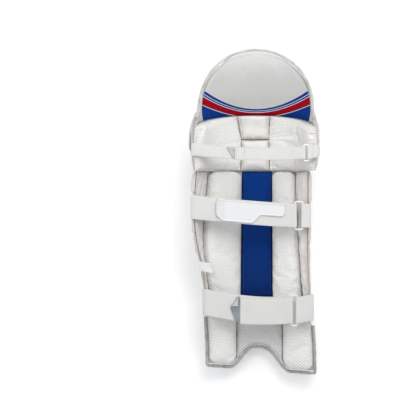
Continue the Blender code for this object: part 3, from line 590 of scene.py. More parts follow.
@dataclass(frozen=True)
class SpacerMesh:
    """Woven spacer mesh with open cells, on the cloth's own UV map in metres; painted shade darkens the cells
    and the seams.

    Towards the foot the colour turns to foot, over foot_span down from the middle: painted shade that grows
    towards the foot.
    """

    name: str
    colour: Colour = (0.88, 0.875, 0.85)
    shade: Colour = (0.50, 0.485, 0.445)
    cell: float = 0.0063
    # Painted shade towards the foot.
    painted_foot_shade: float = 0.10
    foot: Colour = (0.56, 0.56, 0.545)
    foot_span: Pair = (-0.06, 0.30)
    # How far the open cells and the seams turn to shade: painted shade.
    painted_hole_shade: float = 0.60
    painted_seam_shade: float = 0.5
    hole_depth: float = 0.0007
    slack_depth: float = 0.0006
    roughness: float = 0.85

    def material(self) -> Material:
        """Builds the material."""
        bench = NodeBench(self.name)
        split = bench.add("ShaderNodeSeparateXYZ", Vector=bench.coordinates.outputs["UV"])
        turns = 2.0 * math.pi / self.cell
        across = bench.sum("SINE", bench.sum("MULTIPLY", split.outputs["X"], turns))
        along = bench.sum("SINE", bench.sum("MULTIPLY", split.outputs["Y"], turns))
        holes = bench.soft_step(bench.sum("MULTIPLY", across, along), 0.12, 0.62)
        threads = bench.grain(2200.0, 1.0)
        worn = bench.soft_step(bench.grain(9.0, 4.0), 0.40, 0.75)
        ground = bench.blend(
            bench.sum("MULTIPLY", worn, 0.14), self.colour, tuple(0.85 * c for c in self.colour)
        )
        # Painted shade in the open cells and along the seams, whichever is darker.
        sewn = bench.sum("MULTIPLY", bench.near_seam(), self.painted_seam_shade)
        darkened = bench.sum("MAXIMUM", bench.sum("MULTIPLY", holes, self.painted_hole_shade), sewn)
        # Painted shade that grows towards the foot.
        lower = bench.soft_step(bench.sum("MULTIPLY", split.outputs["Y"], -1.0), *self.foot_span)
        ground = bench.blend(bench.sum("MULTIPLY", lower, self.painted_foot_shade), ground, self.foot)
        colour = bench.blend(darkened, ground, self.shade)
        height = bench.sum("MULTIPLY_ADD", holes, -1.0, bench.sum("MULTIPLY", threads, 0.35))
        uneven = bench.relief(bench.grain(38.0, 3.0), self.slack_depth)
        normal = bench.relief(height, self.hole_depth, uneven)
        bench.shader.inputs["Specular IOR Level"].default_value = 0.15
        return bench.finish(colour, self.roughness, normal)


@dataclass(frozen=True)
class BrushedWebbing:
    """Soft strap webbing with fine cross ribs, a woven selvedge and a light nap; a darker band along both
    edges is partly the selvedge and partly painted shade.
    """

    name: str
    half_width: float
    colour: Colour = (0.67, 0.67, 0.645)
    shade: Colour = (0.53, 0.52, 0.485)
    rib_pitch: float = 0.0016
    selvedge: Pair = (0.0026, 0.0018)

    def material(self) -> Material:
        """Builds the material."""
        bench = NodeBench(self.name)
        split = bench.add("ShaderNodeSeparateXYZ", Vector=bench.coordinates.outputs["UV"])
        ribs = bench.sum("SINE", bench.sum("MULTIPLY", split.outputs["X"], 2.0 * math.pi / self.rib_pitch))
        reach = bench.sum("ABSOLUTE", split.outputs["Y"])
        selvedge = bench.soft_step(reach, *(self.half_width - inset for inset in self.selvedge))
        nap = bench.grain(1500.0, 3.0)
        soil = bench.soft_step(bench.grain(20.0, 4.0), 0.45, 0.80)
        colour = bench.blend(bench.sum("MULTIPLY", soil, 0.22), self.colour, self.shade)
        # Darker band along both edges: partly the woven selvedge, partly painted shade along the strap's
        # edges.
        colour = bench.blend(bench.sum("MULTIPLY", selvedge, 0.30), colour, self.shade)
        height = bench.sum("MULTIPLY_ADD", ribs, 0.22, bench.sum("MULTIPLY", nap, 0.9))
        normal = bench.relief(height, 0.0005, bench.relief(bench.grain(60.0, 2.0), 0.0008))
        bench.shader.inputs["Sheen Weight"].default_value = 0.08
        bench.shader.inputs["Specular IOR Level"].default_value = 0.15
        return bench.finish(colour, 0.88, normal)


@dataclass(frozen=True)
class Moulding:
    """Smooth moulded plastic or rubber with a slightly uneven gloss."""

    name: str
    colour: Colour
    roughness: float

    def material(self) -> Material:
        """Builds the material."""
        bench = NodeBench(self.name)
        gloss = bench.sum("MULTIPLY_ADD", bench.grain(70.0, 3.0), 0.16, self.roughness - 0.08)
        dusty = bench.soft_step(bench.grain(35.0, 4.0), 0.5, 0.8)
        shade = tuple(0.86 * channel for channel in self.colour)
        colour = bench.blend(bench.sum("MULTIPLY", dusty, 0.3), self.colour, shade)
        return bench.finish(colour, gloss, bench.relief(bench.grain(900.0, 2.0), 0.00012))


@dataclass(frozen=True)
class BoundCloth:
    """Tightly woven cloth for bindings, thread and hook tape: a fine twill with colour variation."""

    name: str
    colour: Colour
    pitch: float = 0.0011

    def material(self) -> Material:
        """Builds the material."""
        bench = NodeBench(self.name)
        split = bench.add("ShaderNodeSeparateXYZ", Vector=bench.coordinates.outputs["Object"])
        turns = 2.0 * math.pi / self.pitch
        slant = bench.sum("ADD", split.outputs["X"], bench.sum("ADD", split.outputs["Y"], split.outputs["Z"]))
        counter = bench.sum("SUBTRACT", split.outputs["Y"], split.outputs["X"])
        weave = bench.sum(
            "MULTIPLY",
            bench.sum("SINE", bench.sum("MULTIPLY", slant, turns)),
            bench.sum("SINE", bench.sum("MULTIPLY", counter, turns)),
        )
        tone = bench.soft_step(bench.grain(55.0, 4.0), 0.35, 0.75)
        colour = bench.blend(tone, self.colour, tuple(0.72 * channel for channel in self.colour))
        bench.shader.inputs["Sheen Weight"].default_value = 0.2
        return bench.finish(colour, 0.8, bench.relief(weave, 0.0003))


LEATHER = CoatedLeather("white_coated_leather").material()
PRINTED = StripedLeather("striped_flap_leather").material()
LINING = CoatedLeather(
    "soft_lining_leather", (0.69, 0.665, 0.65), (0.56, 0.53, 0.51), roughness=0.5
).material()
# The third colour is this leather's painted seam shade.
WARM_LEATHER = CoatedLeather(
    "warm_knee_leather", (0.74, 0.725, 0.70), (0.69, 0.67, 0.64), (0.68, 0.62, 0.565)
).material()
MESH = SpacerMesh("white_spacer_mesh").material()
# A darker copy of the white mesh for the foot panel: painted shade, as the panel tilts down and lies deep
# between the bolsters.
PAINTED_SHADE_FOOT_MESH = SpacerMesh("shaded_foot_mesh", (0.74, 0.74, 0.73), (0.31, 0.31, 0.305)).material()
# The blue strip turns much darker towards the foot: painted shade.
BLUE_MESH = SpacerMesh(
    "blue_strip_cloth",
    (0.0004, 0.043, 0.270),
    (0.0002, 0.018, 0.110),
    0.0024,
    painted_foot_shade=0.9,
    foot=(0.0002, 0.016, 0.105),
).material()
BLUE_THREAD = BoundCloth("blue_seam_thread", (0.010, 0.075, 0.300), 0.0006).material()
RING_PLASTIC = Moulding("white_ring_plastic", (0.78, 0.78, 0.765), 0.30).material()
RUBBER = Moulding("white_moulded_rubber", (0.70, 0.71, 0.715), 0.45).material()
BINDING = BoundCloth("grey_edge_binding", (0.60, 0.61, 0.585)).material()
WHITE_BINDING = BoundCloth("white_edge_binding", (0.80, 0.80, 0.77)).material()
HOOK = BoundCloth("grey_hook_tape", (0.34, 0.385, 0.42), 0.0016).material()
PALE_HOOK = BoundCloth("pale_hook_tape", (0.68, 0.70, 0.71), 0.0016).material()
THREAD = BoundCloth("seam_thread", (0.56, 0.53, 0.49), 0.0006).material()
WHITE_THREAD = BoundCloth("white_strap_thread", (0.68, 0.675, 0.64), 0.0006).material()
SATIN = Moulding("white_label_satin", (0.84, 0.84, 0.83), 0.6).material()


# Making pieces


def settle(name: str, mesh: Shape, material: Material, slot: str, nodes: tuple[str, ...] = ()) -> Piece:
    """Turns a bmesh into a dressed piece of the pad.

    Args:
        name: The piece's name.
        mesh: Its shape, which is freed.
        material: Its finish.
        slot: The record's material slot; not used.
        nodes: The solids that it stands for.

    Returns:
        The piece.
    """
    bmesh.ops.recalc_face_normals(mesh, faces=list(mesh.faces))
    if mesh.calc_volume(signed=True) < 0.0:
        bmesh.ops.reverse_faces(mesh, faces=list(mesh.faces))
    data = bpy.data.meshes.new(name)
    mesh.to_mesh(data)
    mesh.free()
    data.shade_smooth()
    data.materials.append(material)
    piece = bpy.data.objects.new(name, data)
    bpy.context.collection.objects.link(piece)
    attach(piece, "root")
    if nodes:
        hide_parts(*nodes)
    return piece


def rounded(piece: Piece, levels: int = 1) -> Piece:
    """Gives a piece a live subdivision surface.

    Args:
        piece: The piece.
        levels: Its levels, the same in a render as in the viewport.

    Returns:
        The same piece.
    """
    modifier = piece.modifiers.new("rounded", "SUBSURF")
    modifier.levels = modifier.render_levels = levels
    return piece


def folded_sheet(
    columns: int, rows: int, is_cloth: bool = False, has_seams: bool = False
) -> tuple[Shape, list[Vert], list[Vert]]:
    """Lays a grid and raises a second one from it, joined all round.

    Args:
        columns: Its columns.
        rows: Its rows.
        is_cloth: Whether it has a map of its flat cloth.
        has_seams: Whether its points say how near a seam is.

    Returns:
        The mesh, the points of its underside and the points of its face.
    """
    mesh = bmesh.new()
    bmesh.ops.create_grid(mesh, x_segments=columns, y_segments=rows, size=0.5)
    if is_cloth:
        mesh.loops.layers.uv.new("cloth")
    if has_seams:
        mesh.verts.layers.float.new("seam")
    near = list(mesh.verts)
    grown = bmesh.ops.extrude_face_region(mesh, geom=list(mesh.faces))
    return mesh, near, [item for item in grown["geom"] if isinstance(item, Vert)]


def lay_flat(mesh: Shape, flat: dict[Vert, Pair]) -> None:
    """Writes each point's place on the flat cloth to the mesh's map."""
    sheet = mesh.loops.layers.uv["cloth"]
    for face in mesh.faces:
        for loop in face.loops:
            loop[sheet].uv = flat[loop.vert]


@dataclass
class Stuffing:
    """Puffs closed fabric panels between their seams with Blender's cloth, all in one run."""

    frames: int = 20
    pressure: float = 4.0
    entries: list[tuple[Piece, list[int], float]] = field(default_factory=list)

    def add(self, piece: Piece, held: list[int], cap: float) -> None:
        """Puts a panel in the run.

        Args:
            piece: The panel.
            held: Its points that the seams hold.
            cap: The furthest that a point may move.
        """
        self.entries.append((piece, held, cap))

    def prepare(self, piece: Piece, held: list[int]) -> None:
        """Gives one panel its cloth, held at the seams."""
        group = piece.vertex_groups.new(name="seams")
        group.add(held, 1.0, "REPLACE")
        modifier = piece.modifiers.new("stuffing", "CLOTH")
        modifier.point_cache.frame_start = 1
        modifier.point_cache.frame_end = self.frames
        cloth = modifier.settings
        cloth.quality = 4
        cloth.mass = 0.25
        cloth.tension_stiffness = cloth.compression_stiffness = 12.0
        cloth.shear_stiffness = 6.0
        cloth.bending_stiffness = 0.6
        cloth.vertex_group_mass = "seams"
        cloth.use_pressure = True
        cloth.uniform_pressure_force = self.pressure
        cloth.shrink_min = -0.035
        cloth.effector_weights.gravity = 0.0

    def run(self) -> None:
        """Steps the cloth, caps how far each point moved and leaves plain meshes."""
        for piece, held, _ in self.entries:
            self.prepare(piece, held)
        scene = bpy.context.scene
        for step in range(1, self.frames + 1):
            scene.frame_set(step)
        graph = bpy.context.evaluated_depsgraph_get()
        for piece, _, cap in self.entries:
            puffed = piece.evaluated_get(graph).to_mesh()
            moves = [a.co - b.co for a, b in zip(puffed.vertices, piece.data.vertices)]
            piece.evaluated_get(graph).to_mesh_clear()
            piece.modifiers.clear()
            piece.vertex_groups.clear()
            for point, move in zip(piece.data.vertices, moves):
                move.length = min(move.length, cap) if move.length > 0.0 else 0.0
                point.co += move
                point.co.z = max(point.co.z, FLOOR_GAP)
        scene.frame_set(1)
        for piece, _, _ in self.entries:
            rounded(piece)


STUFFING = Stuffing()


GATHER_REACH = 0.011
GATHER_WAVES = (560.0, 520.0)
FOLD_WAVES = 480.0
FRILL_REACH = 0.007
FRILL_WAVES = 700.0
OUTER_REACH = 0.030
SEAM_REACH = 0.0028
FACE_MARGIN = 0.0005


@dataclass(frozen=True)
class Channel:
    """A sewn line that pulls a panel in, straight across it or straight along it."""

    across_panel: bool
    place: float
    width: float
    pull: float

    def held(self, p: float, q: float, size: Pair) -> float:
        """How far the sewn line lets the panel rise.

        Args:
            p: The share across.
            q: The share along.
            size: The panel's width and length.

        Returns:
            1 away from the line, less on it.
        """
        off = (q - self.place) * size[1] if self.across_panel else (p - self.place) * size[0]
        return 1.0 - self.pull * math.exp(-((off / self.width) ** 2))


@dataclass
class Panel:
    """One padded panel: a closed cover between the shell and its own crowned face.

    spot gives the place around and along the shell of each share across and along. full is the depth
    in the middle and edge the depth at the seams. crowns says how square the panel is across and
    along, pucker how far the seams gather it, slack how uneven its face is and folds how deep the
    loose folds along it are. outer_edge is its depth at the shell's own edge, where a frill gathers it.
    """

    name: str
    shell: PadShell
    spot: Spot
    side: Side
    seat: float
    edge: float
    full: Callable[[float, float], float]
    material: Material
    slot: str
    crowns: Pair = (4.0, 8.0)
    crowd: Pair = (0.75, 0.25)
    spacing: float = 0.0052
    pucker: float = 0.0007
    slack: float = 0.0010
    folds: float = 0.0
    outer_edge: float | None = None
    frill: float = 0.0
    cap: float = 0.0022
    fill: float = 0.6
    channels: tuple[Channel, ...] = ()
    size: Pair = (0.1, 0.1)
    piece: Piece | None = None

    def spread(self, x: float, y: float) -> Pair:
        """Moves even shares towards the seams, where the face rounds over."""
        shares = []
        for share, crowd in ((x, self.crowd[0]), (y, self.crowd[1])):
            shares.append(mix(share, 0.5 - 0.5 * math.cos(math.pi * share), crowd))
        return shares[0], shares[1]

    def measure(self) -> None:
        """Measures the panel's width and length along the shell."""
        width = max(
            sum(
                (self.shell.point(*self.spot((k + 1) / 8, q)) - self.shell.point(*self.spot(k / 8, q))).length
                for k in range(8)
            )
            for q in (0.1, 0.5, 0.9)
        )
        length = max(
            (self.shell.point(*self.spot(p, 1.0)) - self.shell.point(*self.spot(p, 0.0))).length
            for p in (0.0, 0.5, 1.0)
        )
        self.size = (width, length)

    def seam_distance(self, p: float, q: float) -> Pair:
        """How far a spot is from the seams at the panel's sides and at its ends."""
        return min(p, 1.0 - p) * self.size[0], min(q, 1.0 - q) * self.size[1]

    def depth(self, p: float, q: float) -> float:
        """Works out how thick the panel is.

        Args:
            p: The share across.
            q: The share along.

        Returns:
            The depth of its face, always positive.
        """
        around, y = self.spot(p, q)
        bulk = crown(p, self.crowns[0]) * crown(q, self.crowns[1])
        for channel in self.channels:
            bulk *= channel.held(p, q, self.size)
        full = self.full(around, y)
        across = self.shell.arc(around, y)
        from_side, from_end = self.seam_distance(p, q)
        wander = noise.noise(Vector((24.0 * across, 24.0 * y, 3.0)))
        beside = math.exp(-from_side / GATHER_REACH) * math.sin(GATHER_WAVES[0] * y + 9.0 * wander)
        beyond = math.exp(-from_end / GATHER_REACH) * math.sin(GATHER_WAVES[1] * across + 9.0 * wander)
        gathers = (beside + beyond) * (0.6 + 0.8 * noise.noise(Vector((55.0 * across, 55.0 * y, 9.0))))
        unevenness = noise.noise(Vector((26.0 * across, 17.0 * y, 1.7 * self.side.value)))
        ease = self.pucker * gathers * min(1.0, 2.0 * bulk) + self.slack * unevenness * bulk
        lean = FOLD_WAVES * across + 3.0 * noise.noise(Vector((8.0 * across, 14.0 * y, 5.0)))
        ease += self.folds * math.sin(lean) * min(1.0, 2.0 * bulk)
        edge = self.edge
        if self.outer_edge is not None:
            from_outer = (1.0 - abs(around)) * abs(self.shell.arc(math.copysign(1.0, around), y))
            edge = mix(self.outer_edge, self.edge, ramp(from_outer, 0.0, OUTER_REACH))
            gathered = math.sin(FRILL_WAVES * y + 6.0 * noise.noise(Vector((0.0, 60.0 * y, 2.0))))
            ease += self.frill * math.exp(-from_outer / FRILL_REACH) * gathered
        return max(edge + (full - edge) * bulk * 0.97 + ease, abs(self.seat) + FACE_MARGIN)

    def build(self) -> Piece:
        """Returns:
            The panel's object.
        """
        self.measure()
        columns, rows = (max(6, round(side / self.spacing)) for side in self.size)
        mesh, near, far = folded_sheet(columns, rows, is_cloth=True, has_seams=True)
        seam = mesh.verts.layers.float["seam"]
        flat: dict[Vert, Pair] = {}
        held: list[Vert] = list(near)
        for points, is_face in ((near, False), (far, True)):
            for point in points:
                p, q = self.spread(point.co.x + 0.5, point.co.y + 0.5)
                around, y = self.spot(p, q)
                if is_face and (min(p, q) < 1e-6 or max(p, q) > 1.0 - 1e-6):
                    held.append(point)
                depth = self.depth(p, q) if is_face else abs(self.seat)
                point.co = self.shell.point(around, y, self.side.value * depth)
                point[seam] = math.exp(-min(self.seam_distance(p, q)) / SEAM_REACH)
                flat[point] = (self.shell.arc(around, y), y)
        lay_flat(mesh, flat)
        mesh.verts.index_update()
        indices = [point.index for point in held]
        self.piece = settle(f"{self.name}_cover", mesh, self.material, self.slot, (self.name,))
        STUFFING.add(self.piece, indices, self.cap)
        return self.piece


# Stitching


@dataclass
class Stitches:
    """Runs of thread stitches that lie on finished covers, in one piece."""

    name: str
    slot: str
    thread: Material = THREAD
    length: float = 0.0032
    gap: float = 0.0014
    width: float = 0.0007
    mesh: Shape = field(default_factory=bmesh.new)

    def surface(self, piece: Piece) -> BVHTree:
        """The evaluated surface of a finished cover."""
        return BVHTree.FromObject(piece, bpy.context.evaluated_depsgraph_get())

    def place(self, start: Vector, stop: Vector, normal: Vector) -> None:
        """Sews one stitch.

        Args:
            start: Where it comes up.
            stop: Where it goes down.
            normal: Out of the cover.
        """
        along = (stop - start).normalized()
        across = normal.cross(along).normalized()
        up = along.cross(across)
        turn = Matrix((along, across, up)).transposed().to_4x4()
        size = Matrix.Diagonal((self.length, self.width, self.width, 1.0))
        middle = 0.5 * (start + stop) + 0.12 * self.width * up
        bmesh.ops.create_cube(self.mesh, size=1.0, matrix=Matrix.Translation(middle) @ turn @ size)

    def follow(self, tree: BVHTree, route: list[tuple[Vector, Vector]]) -> None:
        """Sews along a line thrown onto a cover.

        Args:
            tree: The cover's surface.
            route: Points in front of the cover, each with the direction towards it.
        """
        landed = []
        for origin, direction in route:
            spot, normal, _, _ = tree.ray_cast(origin, direction, 0.08)
            if spot is not None:
                landed.append((spot, -direction if normal.dot(direction) > 0 else normal))
        step = self.length + self.gap
        walked = 0.0
        for (a, normal), (b, _) in zip(landed, landed[1:]):
            span = (b - a).length
            if span < 1e-6 or span > 0.02:
                continue
            while walked <= span:
                start = a + (b - a) * (walked / span)
                stop = start + (b - a).normalized() * self.length
                self.place(start, stop, normal)
                walked += step
            walked -= span

    def on_panel(self, panel: Panel, line: Callable[[float], Pair], steps: int = 160) -> None:
        """Sews along a line given in a panel's own shares across and along.

        Args:
            panel: The finished panel.
            line: The shares at each place on the line, from 0 to 1.
            steps: How finely the line is followed.
        """
        tree = self.surface(panel.piece)
        route = []
        for step in range(steps + 1):
            around, y = panel.spot(*line(step / steps))
            outward = panel.shell.outward(around, y) * panel.side.value
            route.append((panel.shell.point(around, y) + 0.05 * outward, -outward))
        self.follow(tree, route)

    def build(self) -> Piece:
        """Rounds every stitch and hands over the run."""
        bmesh.ops.bevel(
            self.mesh,
            geom=list(self.mesh.edges),
            offset=0.22 * self.width,
            offset_type="OFFSET",
            affect="EDGES",
            segments=1,
            profile=0.5,
            material=-1,
        )
        return settle(self.name, self.mesh, self.thread, self.slot)


# Tubes


@dataclass
class RolledCord:
    """A round binding or wire along a route, swept from one circle."""

    name: str
    route: list[Vector]
    radius: float
    material: Material
    slot: str
    closed: bool = False
    sides: int = 12
    ruffle: float = 0.0
    nodes: tuple[str, ...] = ()

    def smooth_route(self, spacing: float) -> list[Vector]:
        """Runs a smooth curve through the route's points, a spacing apart."""
        points = self.route
        count = len(points)
        fine = []
        last = count if self.closed else count - 1
        for index in range(last):
            if self.closed:
                a, b, c, d = (points[(index + k) % count] for k in (-1, 0, 1, 2))
            else:
                a, b = points[max(index - 1, 0)], points[index]
                c, d = points[index + 1], points[min(index + 2, count - 1)]
            steps = max(1, round((c - b).length / spacing))
            for step in range(steps):
                t = step / steps
                fine.append(
                    0.5
                    * (
                        2.0 * b
                        + (c - a) * t
                        + (2.0 * a - 5.0 * b + 4.0 * c - d) * t * t
                        + (3.0 * b - a - 3.0 * c + d) * t**3
                    )
                )
        if not self.closed:
            fine.append(points[-1])
        return fine

    def build(self, spacing: float = 0.003) -> Piece:
        """Sweeps the circle and closes or caps its ends.

        Args:
            spacing: How far apart the circles stand.

        Returns:
            The finished cord.
        """
        route = self.smooth_route(spacing)
        mesh = bmesh.new()
        ring = bmesh.ops.create_circle(mesh, segments=self.sides, radius=1.0, cap_ends=False)["verts"]
        offsets = [point.co.copy() for point in ring]
        count = len(route)
        upward = Vector((0.0, 0.0, 1.0))
        first_edges = list(mesh.edges)
        edges = first_edges
        for index, place in enumerate(route):
            before = route[index - 1] if index or self.closed else place
            after = route[(index + 1) % count] if index < count - 1 or self.closed else place
            tangent = (after - before).normalized()
            side = tangent.cross(upward).normalized()
            upward = side.cross(tangent).normalized()
            if index:
                grown = bmesh.ops.extrude_edge_only(mesh, edges=edges)["geom"]
                ring = [item for item in grown if isinstance(item, Vert)]
                edges = [item for item in grown if isinstance(item, bmesh.types.BMEdge)]
                edges = [edge for edge in edges if all(vert in ring for vert in edge.verts)]
            gathers = noise.noise(Vector((0.0, 0.0, 0.31 * index)))
            radius = self.radius * (1.0 + self.ruffle * gathers)
            for point, offset in zip(ring, offsets):
                point.co = place + radius * (offset.x * side + offset.y * upward)
        if self.closed:
            bmesh.ops.bridge_loops(mesh, edges=edges + first_edges)
        else:
            bmesh.ops.contextual_create(mesh, geom=edges)
            bmesh.ops.contextual_create(mesh, geom=first_edges)
        return settle(self.name, mesh, self.material, self.slot, self.nodes)


# Front of the shin


@dataclass(frozen=True)
class Groove:
    """A slanting groove of a wing: its places at the ribs and at the wing's edge, in pad lengths."""

    at_ribs: float
    at_edge: float


@dataclass
class ShinFront:
    """The long ribs down the front and the quilted wing on each side of them."""

    rib_depth: float = 0.0165
    rib_edge: float = 0.005
    wing_depth: float = 0.0105
    wing_edge: float = 0.0035
    centre_half: float = 0.024
    front_half: float = 0.068
    wing_start: float = 0.50
    wing_foot: float = -0.257
    toe_bulge: float = 0.016
    toe_bulge_place: float = -0.322
    toe_bulge_reach: float = 0.036
    left_grooves: tuple[Groove, ...] = (
        Groove(0.1253, 0.1253),
        Groove(0.0055, 0.0587),
        Groove(-0.0492, 0.0205),
        Groove(-0.1339, -0.0642),
        Groove(-0.1872, -0.1339),
        Groove(-0.3415, -0.3361),
    )
    right_grooves: tuple[Groove, ...] = (
        Groove(0.1253, 0.1253),
        Groove(-0.0273, 0.0273),
        Groove(-0.1503, -0.0956),
        Groove(-0.3415, -0.3361),
    )
    panels: dict[str, Panel] = field(default_factory=dict)

    def wing_border(self, y: float) -> float:
        """Where the wing starts around the shell; it narrows away above the foot."""
        return mix(1.0, self.wing_start, math.sin(0.5 * math.pi * ramp(y, self.wing_foot, 0.0)))

    def front_border(self, side: float, half: float) -> Border:
        """A line down the front, a fixed way to one side of the shell's axis."""
        return lambda y: SHIN.around(SHIN.cut(y).axis + side * half, y)

    def rib(self, name: str, left: Border, right: Border) -> None:
        """Makes one long rib.

        Args:
            name: The solid that it stands for.
            left: Its left border around the shell.
            right: Its right border around the shell.
        """
        gap = 0.5 * SEAM_GAP / HALF_WIDTH

        def spot(p: float, q: float) -> Pair:
            bottom = toe_end(lambda y: SHIN.point(mix(left(y), right(y), p), y).x)
            y = mix(bottom, KNEE_BREAK - 0.5 * SEAM_GAP, q)
            return mix(left(y) + gap, right(y) - gap, p), y

        def full(around: float, y: float) -> float:
            off = abs(y - self.toe_bulge_place) / self.toe_bulge_reach
            return self.rib_depth + self.toe_bulge * max(0.0, 1.0 - off)

        panel = Panel(name, SHIN, spot, Side.FRONT, LEG_SEAT, self.rib_edge, full, LEATHER, "white_leather")
        panel.crowns = (4.0, 24.0)
        panel.fill = 0.85
        panel.build()
        self.panels[name] = panel

    def wing(self, name: str, side: float, grooves: tuple[Groove, ...]) -> None:
        """Makes the quilted panels of one wing.

        Args:
            name: The start of the solids' names.
            side: -1 for the left wing, 1 for the right.
            grooves: The grooves above, between and below the panels.
        """
        for number, (upper, lower) in enumerate(zip(grooves, grooves[1:]), start=1):

            def spot(p: float, q: float, upper: Groove = upper, lower: Groove = lower) -> Pair:
                top = mix(upper.at_ribs, upper.at_edge, p) * PAD_LENGTH - SEAM_GAP
                bottom = mix(lower.at_ribs, lower.at_edge, p) * PAD_LENGTH + SEAM_GAP
                y = mix(bottom, top, q)
                return side * mix(self.wing_border(y) + 1.5 * SEAM_GAP / HALF_WIDTH, 1.0, p), y

            label = f"{name}_{number}"
            panel = Panel(
                label,
                SHIN,
                spot,
                Side.FRONT,
                FRONT_SEAT,
                self.wing_edge,
                lambda around, y: self.wing_depth,
                LEATHER,
                "white_leather",
            )
            panel.spacing = 0.0042
            panel.crowns = (4.0, 4.0)
            panel.fill = 0.7
            panel.build()
            self.panels[label] = panel

    def build(self) -> None:
        """Makes every rib and both wings."""
        centre_left, centre_right = (self.front_border(side, self.centre_half) for side in (-1.0, 1.0))
        front_left, front_right = (self.front_border(side, self.front_half) for side in (-1.0, 1.0))
        self.rib("shin_rib_centre", centre_left, centre_right)
        self.rib("shin_rib_left", front_left, centre_left)
        self.rib("shin_rib_right", centre_right, front_right)
        self.rib("side_rib_left", lambda y: -self.wing_border(y), front_left)
        self.rib("side_rib_right", front_right, self.wing_border)
        self.wing("wing_left", -1.0, self.left_grooves)
        self.wing("wing_right", 1.0, self.right_grooves)

    def sew(self) -> None:
        """Sews along both wings' edges."""
        run = Stitches("wing_stitching", "white_leather")
        for name, panel in self.panels.items():
            if name.startswith("wing"):
                run.on_panel(panel, lambda t: (0.93, mix(0.08, 0.92, t)))
        run.build()


# Knee roll


@dataclass
class KneeRoll:
    """Three bolsters across the front of the knee, which thin to two side panels, and a bare shield."""

    front_depth: float = 0.036
    upper_depth: float = 0.024
    side_depth: float = 0.0125
    edge: float = 0.008
    upper_groove: float = 0.177
    lower_groove: float = 0.138
    groove_width: float = 0.0012
    column: float = 7.5
    shield_width: float = 0.056
    shield_height: float = 0.060
    shield_place: float = 0.155
    shield_point: float = 0.016
    shield_around: float = -0.69
    shield_gap: float = 0.0009
    side_start: float = 60.0
    side_reaches: Pair = (0.83, 0.93)
    seat: float = 0.0013
    panels: dict[str, Panel] = field(default_factory=dict)

    def upper_border(self, turned: float) -> float:
        """The groove above the middle roll, at degrees around from the front."""
        return mix(self.upper_groove, ROLL_TOP, ramp(abs(turned), 2 * self.column, 8 * self.column))

    def lower_border(self, turned: float) -> float:
        """The groove below the middle roll, at degrees around from the front."""
        bottom = KNEE_BREAK + 0.5 * SEAM_GAP
        return mix(self.lower_groove, bottom, ramp(abs(turned), 3 * self.column, 6 * self.column))

    def depth(self, around: float, front_depth: float) -> float:
        """How thick a roll is at a place around the knee."""
        return mix(self.side_depth, front_depth, math.cos(0.5 * math.pi * min(abs(around), 1.0)) ** 2)

    def bolster(self, name: str, columns: int, low: Border, high: Border, front_depth: float) -> None:
        """Makes one bolster.

        Args:
            name: The solid that it stands for.
            columns: How many steps of seven and a half degrees it spans.
            low: Its lower border at degrees around.
            high: Its upper border at degrees around.
            front_depth: How thick it is at the front.
        """
        half_turn = 0.5 * columns * self.column

        def spot(p: float, q: float) -> Pair:
            turned = mix(-half_turn, half_turn, p)
            y = mix(low(turned), high(turned), q)
            side_reach = mix(*self.side_reaches, ramp(y, KNEE_BREAK, ROLL_TOP))
            past = max(abs(turned) - self.side_start, 0.0) / (90.0 - self.side_start)
            degrees = min(abs(turned), self.side_start) + past * (90.0 * side_reach - self.side_start)
            return math.copysign(degrees / 90.0, turned), y

        panel = Panel(
            name,
            UPPER,
            spot,
            Side.FRONT,
            self.seat,
            self.edge,
            lambda around, y: self.depth(around, front_depth),
            LEATHER,
            "white_leather",
        )
        panel.crowns = (12.0, 5.0)
        panel.crowd = (0.0, 0.6)
        panel.spacing = 0.0048
        panel.fill = 0.85
        panel.build()
        self.panels[name] = panel

    def shield(self) -> None:
        """Makes the bare shield with a raised rim, its point towards the foot."""
        mesh, near, far = folded_sheet(40, 40)
        for points, outside in ((near, False), (far, True)):
            for point in points:
                p, q = point.co.x + 0.5, point.co.y + 0.5
                lower = self.shield_place - 0.5 * self.shield_height + self.shield_point * abs(2.0 * p - 1.0)
                y = mix(lower, self.shield_place + 0.5 * self.shield_height, q)
                quarter_turn = HALF_WIDTH * 0.5 * math.pi
                around = self.shield_around - (0.5 - p) * self.shield_width / quarter_turn
                inset = min(p, 1.0 - p, q, 1.0 - q)
                rim = eased(inset, 0.0, 0.03) * mix(1.0, 0.35, eased(inset, 0.075, 0.10))
                height = 0.0004 + 0.0026 * rim if outside else 0.0
                depth = self.depth(around, self.front_depth) + self.shield_gap + height
                point.co = UPPER.point(around, y, depth)
        settle("knee_badge_plate", mesh, RUBBER, "white_rubber", ("knee_badge",))

    def build(self) -> None:
        """Makes the three bolsters and the shield."""
        bottom = KNEE_BREAK + 0.5 * SEAM_GAP
        gap = self.groove_width
        self.bolster(
            "knee_roll_upper", 14, lambda t: self.upper_border(t) + gap, lambda t: ROLL_TOP, self.upper_depth
        )
        self.bolster("knee_roll_middle", 24, self.lower_border, self.upper_border, self.front_depth)
        self.bolster(
            "knee_roll_lower", 10, lambda t: bottom, lambda t: self.lower_border(t) - gap, self.front_depth
        )
        self.shield()

    def sew(self) -> None:
        """Sews round the middle roll's side panels."""
        run = Stitches("knee_roll_stitching", "white_leather")
        middle = self.panels["knee_roll_middle"]
        for across in (0.025, 0.975):
            run.on_panel(middle, lambda t, across=across: (across, mix(0.06, 0.94, t)))
        for along in (0.07, 0.93):
            run.on_panel(middle, lambda t, along=along: (mix(0.025, 0.22, t), along))
            run.on_panel(middle, lambda t, along=along: (mix(0.78, 0.975, t), along))
        run.build()


# Top flap


